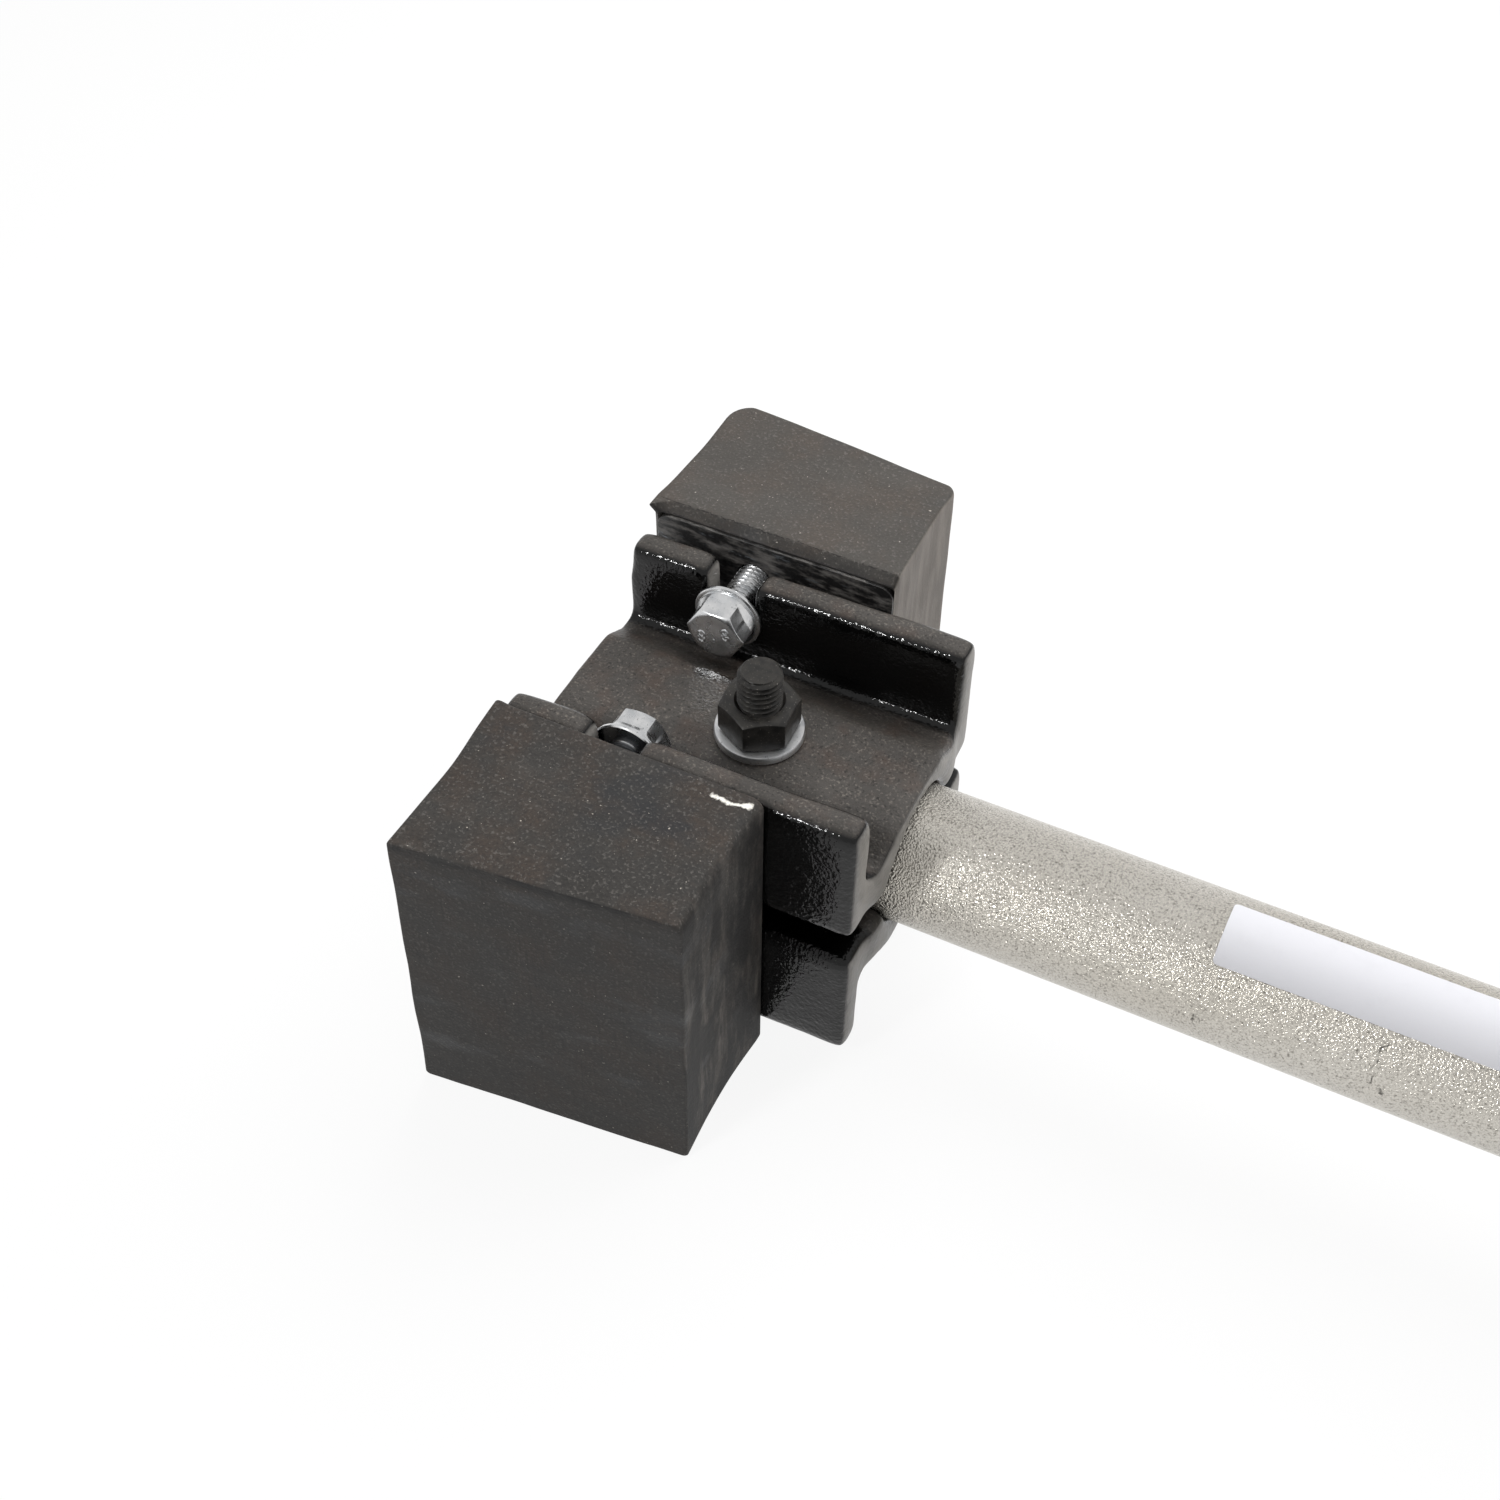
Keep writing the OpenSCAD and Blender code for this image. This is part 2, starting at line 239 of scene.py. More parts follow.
def veil(tree, colour, tone, mask, share=1.0):
    """Lays a tone over a colour where the mask is 1; a share below 1 thins it."""
    cover = mask if share == 1 else overlap(tree, mask, share)
    return add(tree, "Mix", cover, colour, tone, data_type="RGBA")


def skin(tree, place, size_mm, depth_mm, detail=2.0, mask=1.0, below=None):
    """A normal bumped by lumps of a real size and depth where the mask is 1; below is a
    coarser skin under it."""
    height = overlap(tree, noise(tree, place, size_mm, detail), mask)
    sockets = {"Height": height, "Distance": depth_mm * MM, "Strength": 1.0}
    if below is not None:
        sockets["Normal"] = below
    return add(tree, "Bump", named=sockets)


# %% Single marks, and the direction of the surface


def metres(*lengths):
    """Lengths in mm as the metres that a place on a piece is given in."""
    return [length * MM for length in lengths]


def scuff_mask(tree, place, start, end, width):
    """1 near the line from start to end, in mm, and 0 past its width; the edge is frayed."""
    line = np.array(end, float) - start
    length = np.linalg.norm(line)
    unit = (line / length).tolist()
    offset = add(tree, "VectorMath", place, metres(*start), operation="SUBTRACT")
    along = add(tree, "VectorMath", offset, unit, operation="DOT_PRODUCT")
    along = add(tree, "MapRange", along, *metres(0, length, 0, length))
    foot = add(tree, "VectorMath", unit, along, operation="SCALE")
    gap = add(tree, "VectorMath", offset, foot, operation="DISTANCE")
    fray = overlap(tree, noise(tree, place, 0.9), width * MM)
    frayed = add(tree, "Math", gap, fray, operation="ADD")
    return add(tree, "MapRange", frayed, *metres(width * 0.8, width * 1.3), 1.0, 0.0)


def marked(tree, place, marks):
    """1 on any of the marks, each of which is a start, an end and a width in mm."""
    return either(tree, *[scuff_mask(tree, place, *mark) for mark in marks])


def crooked(tree, place, size_mm, reach_mm):
    """The place shifted by a noise, so that marks laid along a straight line come out bent."""
    cloud = add(tree, "TexNoise", place, 1 / (size_mm * MM), 3.0).node.outputs["Color"]
    centred = add(tree, "VectorMath", cloud, (0.5, 0.5, 0.5), operation="SUBTRACT")
    shift = add(tree, "VectorMath", centred, reach_mm * MM, operation="SCALE")
    return add(tree, "VectorMath", place, shift, operation="ADD")


def faces_towards(tree):
    """The X, Y and Z parts of the surface's direction: Z is 1 on what points up."""
    normal = add(tree, "NewGeometry").node.outputs["Normal"]
    return add(tree, "SeparateXYZ", normal).node.outputs


# %% [markdown]
# ## Gloss black enamel over cast iron
#
# The castings were sprayed with black enamel straight over the sand-cast skin. Seen
# along a vertical wall it is a deep mirror black with a wavy, orange-peel surface.
# The faces that point up carry a film of workshop dust with a hint of rust, so they look
# grey and fine-grained. The dust could be painted by hand, but a mask made from the
# direction of the surface puts it where real dust settles.

# %% Enamel material
# Where a film starts or fades, in mm sideways from the middle of the head or up from it
SHOULDER_SIDE = (26.8, 24.8)
TROUGH_SIDE, TROUGH_TOP = (25.0, 27.0), (36.0, 30.0)
# Marks, each a start, an end and a width in mm
WIPED = ((-24, 13, 24), (-8, 14, 24), 3.5)
# The two pits are not modelled: their shade is painted on as dark dots.
PIT_SHADE = [((36.0, 35.6, 44.4), (36.5, 36.0, 44.4), 0.45),
        ((37.8, 36.2, 44.4), (38.3, 36.0, 44.4), 0.4)]


def enamel_material():
    """Black enamel: gloss on the walls, a matt film of dust on what points up and on the
    sloped shoulders, less where it was wiped or lies deep in the trough, a paler grey on
    the end faces that is partly dust and partly painted light, and painted shade in two pits."""
    material, tree, place = new_material("black enamel on cast iron")
    where = add(tree, "SeparateXYZ", place).node.outputs
    facing = faces_towards(tree)
    aside = add(tree, "Math", where["Y"], operation="ABSOLUTE")
    shoulder = overlap(tree, add(tree, "MapRange", facing["Z"], 0.45, 0.72),
                       add(tree, "MapRange", aside, *metres(*SHOULDER_SIDE)))
    settled = either(tree, add(tree, "MapRange", facing["Z"], 0.70, 0.97), shoulder)
    trough = overlap(tree, add(tree, "MapRange", aside, *metres(*TROUGH_SIDE)),
                     add(tree, "MapRange", where["Z"], *metres(*TROUGH_TOP)))
    clean = either(tree, overlap(tree, scuff_mask(tree, place, *WIPED), 0.6), trough)
    dust = overlap(tree, settled, patches(tree, place, 14, 0.30, 0.62, 0.75, detail=4),
                   add(tree, "MapRange", clean, 0.0, 1.0, 1.0, 0.0))
    rust = patches(tree, place, 9, 0.50, 0.72, 0.0, 0.6, detail=3)
    film = veil(tree, "#3c3936", "#443831", rust)
    film = veil(tree, film, "#1b1918", patches(tree, place, 0.85, 0.42, 0.30), 0.7)
    film = veil(tree, film, "#7d766e", patches(tree, place, 0.7, 0.58, 0.74, detail=1), 0.4)
    colour = veil(tree, "#050505", film, dust)
    # Paler grey on the faces towards the handle: partly dust, partly painted light from the bright
    # room at the right.
    ended = overlap(tree, add(tree, "MapRange", facing["X"], 0.75, 0.95),
                    patches(tree, place, 6, 0.35, 0.6, 0.6, detail=4))
    colour = veil(tree, colour, "#7a7773", ended)
    # Painted shade in the two pits.
    colour = veil(tree, colour, "#0b0a0a", marked(tree, place, PIT_SHADE))
    peel = skin(tree, place, 1.2, 0.21)
    grain = skin(tree, place, 0.8, 0.12, 1.5, settled, peel)
    dull = add(tree, "MapRange", either(tree, dust, ended), 0.0, 1.0, 0.07, 0.47)
    finish(tree, base_color=colour, roughness=dull, normal=grain, specular_ior_level=0.34)
    return material


enamel = enamel_material()

# %% [markdown]
# ## Grained silver coating
#
# The tube has a warm silver coat with a pebbled surface, as blasted or flame-sprayed
# metal has. Each pebble mirrors another part of the room, which makes the highlight
# break into sparkles. The pebbles are about 0.6 mm wide, so they are a bump and not
# geometry. Scuffs are thin dark lines at fixed places on the tube.

# %% Tube material
# Each a start, an end and a width in mm
SCUFFS = [((104.6, -18.4, 4.6), (113.4, -17.3, 7.9), 0.22),
          ((127.7, -18.9, 2.2), (128.8, -19.0, -1.3), 0.5),
          ((128.8, -19.0, -1.3), (132.5, -17.2, -8.0), 0.22),
          ((172.1, -13.6, 13.3), (171.6, -16.1, 10.1), 0.42),
          ((171.6, -16.1, 10.1), (170.6, -18.0, 6.1), 0.45),
          ((170.6, -18.0, 6.1), (171.8, -18.9, 2.0), 0.5),
          ((173.3, -19.0, 1.3), (174.9, -19.0, 0.1), 0.75),
          ((169.6, -18.9, -2.3), (170.6, -18.9, -2.3), 0.6),
          ((154.8, -17.7, -6.9), (169.0, -18.8, -2.6), 0.16)]


def silver_material():
    """Warm silver coat: a rough metal with 0.6 mm pebbles, faint stains and dark scuffs."""
    material, tree, place = new_material("grained silver coat")
    stain = patches(tree, place, 30, 0.35, 0.7, detail=4, stretch=(3, 1, 1))
    colour = veil(tree, "#d2cec6", "#c8c3b9", stain)
    speckle = patches(tree, place, 0.6, 0.52, 0.34, 0.0, 0.5, rough=0.6)
    colour = veil(tree, colour, "#77726a", speckle)
    pores = patches(tree, place, 0.6, 0.24, 0.34, 0.6, 0.0, detail=1)
    colour = veil(tree, colour, "#4f4a42", pores)
    worn = patches(tree, place, 1.3, 0.36, 0.54, 0.25, detail=3, rough=0.6)
    marks = overlap(tree, marked(tree, crooked(tree, place, 3.5, 4.0), SCUFFS), worn)
    colour = veil(tree, colour, "#34312d", marks, 0.8)
    dull = add(tree, "MapRange", marks, 0.0, 1.0, 0.26, 0.7)
    metal = add(tree, "MapRange", marks, 0.0, 1.0, 0.85, 0.3)
    finish(tree, base_color=colour, metallic=metal, roughness=dull,
           normal=skin(tree, place, 0.58, 0.46, 1.0))
    return material


silver = silver_material()

# %% [markdown]
# ## Rubber
#
# The blocks are thick moulded rubber, dark grey with a brown cast. The skin is matt with
# pale dust in its pores, long faint streaks where it was wiped or dragged, and darker
# smears. Light and shade are painted on too: darker sides, a lighter top on the back
# block, a shadow line under the top edge, dark lines in the creases of the lip, painted
# light towards the handle on the back block and painted shade on the front one. Streaks
# are noise that is stretched along one direction. The films that lie everywhere differ
# only in their numbers, so they are a table and a loop.

# %% Rubber material
EVEN = (1, 1, 1)
# Size in mm, detail, roughness and stretch of the noise, its range, the film's share and tone
RUBBER_FILMS = {"stains": (17, 5, 0.6, EVEN, 0.44, 0.62, 1.0, "#37302b"),
                "mottle": (0.9, 3, 0.6, EVEN, 0.36, 0.62, 0.5, "#1f1e1d"),
                "streaks": (2.2, 4, 0.6, (14, 5, 1), 0.52, 0.74, 0.35, "#403e3b"),
                "drawn": (0.7, 3, 0.6, (1.2, 1.2, 22), 0.56, 0.70, 0.5, "#171717"),
                "smears": (11, 4, 0.6, (3, 2, 1), 0.56, 0.70, 0.7, "#1c1e21"),
                "pores": (0.8, 2, 0.5, EVEN, 0.56, 0.72, 0.40, "#696662"),
                "specks": (0.85, 1, 0.5, EVEN, 0.765, 0.80, 1.0, "#a39d94")}
# Marks, each a start, an end and a width in mm
CHIPS = [((8.5, -43.0, 47.6), (13.0, -43.6, 47.6), 1.05),
         ((13.0, -43.6, 47.6), (16.5, -42.8, 47.6), 0.8),
         ((16.5, -42.8, 47.6), (18.0, -42.0, 47.6), 1.15),
         ((5.5, -43.8, 47.6), (5.6, -43.8, 47.6), 0.4)]
# Dark lines along both edges of the back block's chamfer and at a top corner of the front one:
# mould seams with painted shade in their creases.
SEAM_SHADE_LINES = [((-54, 47.7, 47.6), (17, 47.7, 47.6), 0.30),
         ((-52, 45.2, 45.2), (17, 45.2, 45.2), 0.40),
         ((15.6, -83.6, 47.5), (17.6, -83.4, 46.6), 0.45)]
SCRATCHES = [((-37, -52, 47.6), (-26, -61, 47.6), 0.28), ((2, -66, 47.6), (4, -66.5, 47.6), 0.3)]
SMUDGES = [((1.5, -86, 31), (6, -86, 29), 2.4), ((10, -85, 27), (12, -85, 24), 2.2),
           ((-2, -87, -9), (-1, -87, -12), 1.8)]


def rubber_end_dust_and_light(tree, place, behind, height, ended):
    """How thickly a pale film lies on the faces towards the handle, partly dust streaks and
    partly painted light and shade: nearly even on the back block, as painted light, and in
    upright streaks on the front one, fainter near its top, as painted shade."""
    streaks = patches(tree, place, 1.7, 0.44, 0.66, detail=4, rough=0.65, stretch=(1, 2, 16))
    faded = either(tree, behind, add(tree, "MapRange", height, *metres(34, -20), 0.35, 1.0))
    streaks = overlap(tree, streaks, faded, add(tree, "MapRange", behind, 0.0, 1.0, 0.5, 0.3))
    film = add(tree, "Math", streaks, overlap(tree, behind, 0.6), operation="ADD")
    return overlap(tree, film, ended)


def rubber_material():
    """Matt black rubber with dust in its pores, brown stains, streaks and dark smears, and painted
    light and shade on its sides, tops and edges.
    """
    material, tree, place = new_material("moulded rubber")
    colour, masks = "#302e2c", {}
    for name, (size, detail, rough, stretch, low, high, share, tone) in RUBBER_FILMS.items():
        masks[name] = patches(tree, place, size, low, high, detail=detail, rough=rough,
                              stretch=stretch)
        colour = veil(tree, colour, tone, masks[name], share)
    facing = faces_towards(tree)
    where = add(tree, "SeparateXYZ", place).node.outputs
    behind = add(tree, "MapRange", where["Y"], *metres(0, 10))
    ended = add(tree, "MapRange", facing["X"], 0.6, 0.9)
    # Painted shade: faces that do not point up are darker.
    colour = veil(tree, colour, "#1a1918", add(tree, "MapRange", facing["Z"], 0.6, 0.3), 0.38)
    # Pale film towards the handle: dust streaks, with painted light on the back block and painted
    # shade at the top of the front one.
    dust_and_light_film = rubber_end_dust_and_light(tree, place, behind, where["Z"], ended)
    colour = veil(tree, colour, "#746e68", dust_and_light_film)
    # Painted light: the top of the back block is lighter.
    lit_back_top = overlap(tree, behind, add(tree, "MapRange", facing["Z"], 0.6, 0.9))
    colour = veil(tree, colour, "#6f6a64", lit_back_top, 0.15)
    # Dark patches towards the handle, mostly on the front block: partly smears, partly painted
    # shade from the castings.
    smears_and_shade = patches(tree, place, 9, 0.44, 0.56, detail=5, rough=0.65, stretch=(1, 1, 2.4))
    smears_and_shade = overlap(tree, smears_and_shade, add(tree, "MapRange", behind, 0.0, 1.0, 0.85, 0.1), ended)
    colour = veil(tree, colour, "#141313", smears_and_shade)
    # Painted shadow: a ragged dark line just under the top edge of the sides.
    ragged = patches(tree, place, 4, 0.42, 0.56, 0.2, 0.95, detail=5, rough=0.7,
                     stretch=(3, 3, 1))
    painted_edge_shadow = overlap(tree, add(tree, "MapRange", facing["Z"], 0.85, 0.6),
                        add(tree, "MapRange", facing["X"], 0.7, 0.4),
                        add(tree, "MapRange", where["Z"], *metres(44, 46)), ragged)
    colour = veil(tree, colour, "#0f0e0e", painted_edge_shadow)
    bent = crooked(tree, place, 1.8, 1.6)
    # Painted shade along the seams and creases of the lip.
    colour = veil(tree, colour, "#0f0e0e", marked(tree, bent, SEAM_SHADE_LINES), 0.75)
    worn = patches(tree, place, 1.6, 0.42, 0.6, 0.0, 0.5, detail=4, rough=0.7)
    smudged = overlap(tree, marked(tree, place, SMUDGES), worn)
    colour = veil(tree, colour, "#6d665c", smudged)
    colour = veil(tree, colour, "#7a756e", marked(tree, place, SCRATCHES), 0.5)
    colour = veil(tree, colour, "#d9d6ce", marked(tree, bent, CHIPS))
    uneven = skin(tree, place, 5, 0.12, 3)
    dull = add(tree, "MapRange", masks["smears"], 0.0, 1.0, 0.66, 0.46)
    finish(tree, base_color=colour, roughness=dull, specular_ior_level=0.35,
           normal=skin(tree, place, 0.8, 0.13, 3, below=uneven))
    return material


rubber = rubber_material()

# %% [markdown]
# ## Metals of the hardware
#
# Four finishes: bright zinc on the side bolts and washers, black oxide on the clamp bolt
# and its nut, painted steel on the backing plates, scratched by the walls, and the plain
# steel of the weld nuts. The washers were plated loose in a drum, so they are duller.

# %% Hardware materials
# Where the painted shade on the front bolts starts and ends, in mm across the head
SLOT_MOUTH, SLOT_END = (-41.5, -40.5), (-28.8, -29.6)


def zinc_material(name, smooth, dullest):
    """Zinc plating: a smooth metal with a faint cloudy passivation. Where the front bolts
    pass through their slots they are duller and painted dark, as painted shade."""
    material, tree, place = new_material(name)
    cloud = patches(tree, place, 3.5, 0.35, 0.65, detail=4)
    colour = veil(tree, "#ececec", "#d0d2d4", cloud)
    colour = veil(tree, colour, "#77787a", patches(tree, place, 0.8, 0.64, 0.72), 0.5)
    deep = add(tree, "SeparateXYZ", place).node.outputs["Y"]
    slot_shade = overlap(tree, add(tree, "MapRange", deep, *metres(*SLOT_MOUTH)),
                      add(tree, "MapRange", deep, *metres(*SLOT_END)))
    # Painted shade: the shank inside the slot is dark.
    colour = veil(tree, colour, "#3c4045", slot_shade, 0.85)
    dull = either(tree, add(tree, "MapRange", cloud, 0.0, 1.0, smooth, dullest),
                  overlap(tree, slot_shade, 0.5))
    finish(tree, base_color=colour, metallic=1.0, roughness=dull,
           normal=skin(tree, place, 1.2, 0.015, 3))
    return material


def oxide_material():
    """Black oxide on steel: dark, oily and half matt, with pale specks of dust."""
    material, tree, place = new_material("black oxide")
    cloud = patches(tree, place, 2.5, 0.35, 0.65, detail=4)
    colour = veil(tree, "#201f1e", "#2f2d2a", cloud)
    colour = veil(tree, colour, "#85807a", patches(tree, place, 0.45, 0.68, 0.76, detail=1), 0.6)
    dull = add(tree, "MapRange", cloud, 0.0, 1.0, 0.34, 0.48)
    finish(tree, base_color=colour, metallic=0.35, roughness=dull,
           normal=skin(tree, place, 0.6, 0.03))
    return material


def plate_material():
    """Black paint on a steel plate, with bare scratches and light grey smears that are partly
    rubber and partly painted reflection.
    """
    material, tree, place = new_material("scratched black plate paint")
    # Light grey streaks: partly rubber smears, partly a painted reflection on the glossy paint.
    smears_and_sheen = patches(tree, place, 2.6, 0.46, 0.66, detail=5, rough=0.65, stretch=(3, 1, 1))
    scratches = patches(tree, place, 0.7, 0.60, 0.68, detail=5, rough=0.7, stretch=(9, 1, 2))
    bare = overlap(tree, scratches, patches(tree, place, 6, 0.45, 0.62, detail=3))
    colour = veil(tree, "#1a1919", "#6a6764", smears_and_sheen)
    colour = veil(tree, colour, "#7d8287", bare)
    dull = add(tree, "MapRange", smears_and_sheen, 0.0, 1.0, 0.42, 0.62)
    metal = add(tree, "MapRange", bare, 0.0, 1.0, 0.0, 0.9)
    finish(tree, base_color=colour, metallic=metal, roughness=dull,
           normal=skin(tree, place, 1.8, 0.2, 3))
    return material


def raw_steel_material():
    """Plain steel of the weld nuts, grey with a fine mill grain."""
    material, tree, place = new_material("plain steel")
    colour = veil(tree, "#8f9091", "#767371", patches(tree, place, 2, 0.35, 0.65, detail=4))
    finish(tree, base_color=colour, metallic=1.0, roughness=0.45,
           normal=skin(tree, place, 0.7, 0.03))
    return material


zinc = zinc_material("bright zinc plating", 0.20, 0.30)
washer_zinc = zinc_material("tumbled zinc plating", 0.38, 0.52)
oxide = oxide_material()
plate_paint = plate_material()
raw_steel = raw_steel_material()

# %% [markdown]
# ## Label film and plugs
#
# The label is a strip of white coated paper that was rubbed down by hand, so it is
# slightly uneven and picks up faint grey patches. It is left blank. The plugs are
# black polyethylene with the fine spark grain of their mould.

# %% Label and plug materials


def label_material():
    """Coated white paper with a soft gloss and faint grey handling marks."""
    material, tree, place = new_material("coated paper label")
    handled = patches(tree, place, 5, 0.55, 0.75, detail=5, rough=0.6)
    colour = veil(tree, "#bcbcc0", "#b9b9bd", handled)
    finish(tree, base_color=colour, roughness=0.6, specular_ior_level=0.15,
           normal=skin(tree, place, 1.4, 0.02, 3))
    return material


def plug_material():
    """Black polyethylene with a fine moulded grain."""
    material, tree, place = new_material("black polyethylene")
    colour = veil(tree, "#1b1b1c", "#222223", patches(tree, place, 6, 0.4, 0.6, detail=3))
    finish(tree, base_color=colour, roughness=0.48, normal=skin(tree, place, 0.4, 0.03, 1))
    return material


label_paper = label_material()
plug_plastic = plug_material()
print(len(bpy.data.materials), "materials")

# %% [markdown]
# ## Surfaces from grids of points
#
# Every turned or moulded piece below is a grid of points: one direction runs round the
# piece and the other along its outline. Quads join neighbouring points. Poles and seams
# are closed by merging the points that fall together, and then the normals are turned
# outwards.

# %% From a grid to a finished piece
MERGE = 0.001


def grid_faces(rows, columns):
    """Quads of a grid whose last column joins its first."""
    row = np.arange(rows - 1)[:, None]
    column = np.arange(columns)[None, :]
    here = row * columns + column
    beside = row * columns + (column + 1) % columns
    return np.stack([here, beside, beside + columns, here + columns], -1).reshape(-1, 4)


def keep(object_, name, material, body, nodes, crease=35.0):
    """Names a finished piece, gives it its finish and ties it to its body and nodes."""
    object_.name = name
    mesh = object_.data
    mesh.name = name
    mesh.materials.clear()
    mesh.materials.append(material)
    mesh.shade_smooth()
    mesh.set_sharp_from_angle(angle=np.radians(crease))
    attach(object_, body)
    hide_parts(*nodes)
    print(f"{name}: {len(mesh.polygons)} faces")
    return object_


def closed_mesh(name, grids):
    """Makes one object of grids of points in mm, each of rows x columns x 3."""
    mesh = bpy.data.meshes.new(name)
    points, faces, count = [], [], 0
    for grid in grids:
        rows, columns = grid.shape[:2]
        points.append(grid.reshape(-1, 3))
        faces.append(grid_faces(rows, columns) + count)
        count += rows * columns
    mesh.from_pydata(np.concatenate(points) * MM, [], np.concatenate(faces))
    tidy = bmesh.new()
    tidy.from_mesh(mesh)
    bmesh.ops.remove_doubles(tidy, verts=tidy.verts, dist=MERGE * MM)
    bmesh.ops.dissolve_degenerate(tidy, edges=tidy.edges, dist=MERGE * MM * 0.1)
    bmesh.ops.recalc_face_normals(tidy, faces=tidy.faces)
    tidy.to_mesh(mesh)
    tidy.free()
    return add_object(name, mesh)


# %% Copies of CAD meshes, modifiers and cuts


def joined_copy(node, flat=None):
    """A copy of a CAD node's mesh with its loose triangles joined. Faces that meet at less
    than flat degrees become one."""
    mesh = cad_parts[node].data.copy()
    merged = bmesh.new()
    merged.from_mesh(mesh)
    bmesh.ops.remove_doubles(merged, verts=merged.verts, dist=MERGE * MM)
    if flat:
        bmesh.ops.dissolve_limit(merged, angle_limit=np.radians(flat), verts=merged.verts,
                                 edges=merged.edges)
    bmesh.ops.recalc_face_normals(merged, faces=merged.faces)
    merged.to_mesh(mesh)
    merged.free()
    return mesh


def apply_modifiers(object_):
    """Gives an object the mesh that its modifiers make of it."""
    bpy.context.view_layer.update()
    result = object_.evaluated_get(bpy.context.evaluated_depsgraph_get())
    mesh = bpy.data.meshes.new_from_object(result)
    object_.modifiers.clear()
    object_.data = mesh


def cut_away(object_, cutters):
    """Cuts closed meshes out of an object with an exact boolean, applied to its mesh."""
    for cutter in cutters:
        change = object_.modifiers.new("cut", "BOOLEAN")
        change.operation = "DIFFERENCE"
        change.solver = "EXACT"
        change.object = cutter
    apply_modifiers(object_)
    for cutter in cutters:
        bpy.data.objects.remove(cutter)


# %% Outlines, turning, aiming and waves


def angles(columns):
    """Angles of the columns of a turned grid."""
    return np.arange(columns) * 2 * np.pi / columns


def turned(radius, height, columns):
    """Turns an outline round Z: radius and height per row, and per column if they vary."""
    angle = angles(columns)
    radius = np.broadcast_to(radius, (len(radius), columns))
    height = np.broadcast_to(height, (len(height), columns))
    return np.stack([radius * np.cos(angle), radius * np.sin(angle), height], -1)


def aimed(points, origin, direction, roll_to=(1.0, 0.0, 0.0)):
    """Turns points so that Z runs along direction, without mirroring them, and moves them."""
    z_axis = np.array(direction, float)
    y_axis = np.cross(z_axis, roll_to)
    x_axis = np.cross(y_axis, z_axis)
    return points @ np.stack([x_axis, y_axis, z_axis]) + origin


def outline(*steps):
    """Rows of an outline as two columns of radii and heights."""
    radius = np.array([s[0] for s in steps], float)[:, None]
    height = np.array([s[1] for s in steps], float)[:, None]
    return radius, height


def waves(points, size, seed, count=24):
    """Smooth bumps of about the given size in mm: a sum of sine waves that run in random
    directions, scaled so that their usual height is 1."""
    draw = np.random.default_rng(seed)
    direction = draw.normal(size=(count, 3))
    direction /= np.linalg.norm(direction, axis=1, keepdims=True)
    length = size * draw.uniform(0.7, 1.4, count)
    phase = draw.uniform(0, 2 * np.pi, count)
    angle = points @ (direction / length[:, None]).T * 2 * np.pi + phase
    return np.sin(angle).sum(1) * np.sqrt(2 / count)


def vertices(mesh, name="co"):
    """Coordinates or normals of a mesh as an array, coordinates in mm."""
    values = np.empty(len(mesh.vertices) * 3, np.float32)
    mesh.vertices.foreach_get(name, values)
    return values.reshape(-1, 3).astype(float) / (MM if name == "co" else 1)


def set_vertices(mesh, points):
    """Writes coordinates in mm back to a mesh."""
    mesh.vertices.foreach_set("co", (points * MM).astype(np.float32).ravel())
    mesh.update()


# %% [markdown]
# ## Castings
#
# A sand casting has no sharp edge and no flat face. The two halves start from a copy of
# their CAD solids. Voxels turn the copy into an even skin, smoothing rounds its edges
# as the mould and the paint do, and then two sizes of wave are pressed into it: slow
# ones for the sand mould and short ones for the runs of the paint. Faces that other
# pieces sit on stay where they are.

# %% Smoothing that keeps the size
SMOOTH_STEPS = 66
LEAST_SMOOTHING = 0.25
# Full smoothing is reached a few mm past these distances, sideways, up or down, and at the end
SMOOTH_FROM, SMOOTH_FADE = np.array([seat - 9, 33, 41]), np.array([2, 4, 3])
WALL_FROM, WALL_FADE = 20, 8
END_DEPTH, TOP_DEPTH = 8, 6


def relaxed(mesh, points, share, steps):
    """Moves each point of a mesh half of its share of the way to the middle of its
    neighbours, again and again, as a gentle blur of the shape."""
    edges = np.empty(len(mesh.edges) * 2, np.int32)
    mesh.edges.foreach_get("vertices", edges)
    first, second = edges[0::2], edges[1::2]
    degree = np.bincount(edges, minlength=len(points))[:, None]
    for _ in range(steps):
        total = np.stack([np.bincount(first, points[second, axis], len(points))
                          + np.bincount(second, points[first, axis], len(points))
                          for axis in range(3)], 1)
        points = points + 0.5 * share[:, None] * (total / degree - points)
    return points


def regained(before, now, now_part, side, depth):
    """Shift that brings the farthest points of a part back to where they were before they
    were smoothed, and fades out over a depth inwards; side is 1 for high and -1 for low."""
    lost = (before * side).max() - (now_part * side).max()
    return side * lost * np.clip(1 - ((now_part * side).max() - now * side) / depth, 0, 1)


def rounded_edges(mesh):
    """The mesh's points after smoothing. The walls and the body between them each get back
    the length and height that the smoothing took from them."""
    points = vertices(mesh)
    reach = np.stack([np.abs(points[:, 1]), np.abs(points[:, 2]), points[:, 0]], 1)
    outlying = ((reach - SMOOTH_FROM) / SMOOTH_FADE).max(1)
    share = LEAST_SMOOTHING + (1 - LEAST_SMOOTHING) * np.clip(outlying, 0, 1)
    smooth = relaxed(mesh, points, share, SMOOTH_STEPS)
    walls = np.clip((reach[:, 0] - WALL_FROM) / WALL_FADE, 0, 1)
    for part, weight in ((walls > 0.9, walls), (walls < 0.1, 1 - walls)):
        for side in (1, -1):
            for axis, depth, here in ((0, END_DEPTH, weight), (2, TOP_DEPTH, weight * (walls > 0))):
                before, now = points[part, axis], smooth[:, axis]
                smooth[:, axis] += here * regained(before, now, smooth[part, axis], side, depth)
    return smooth


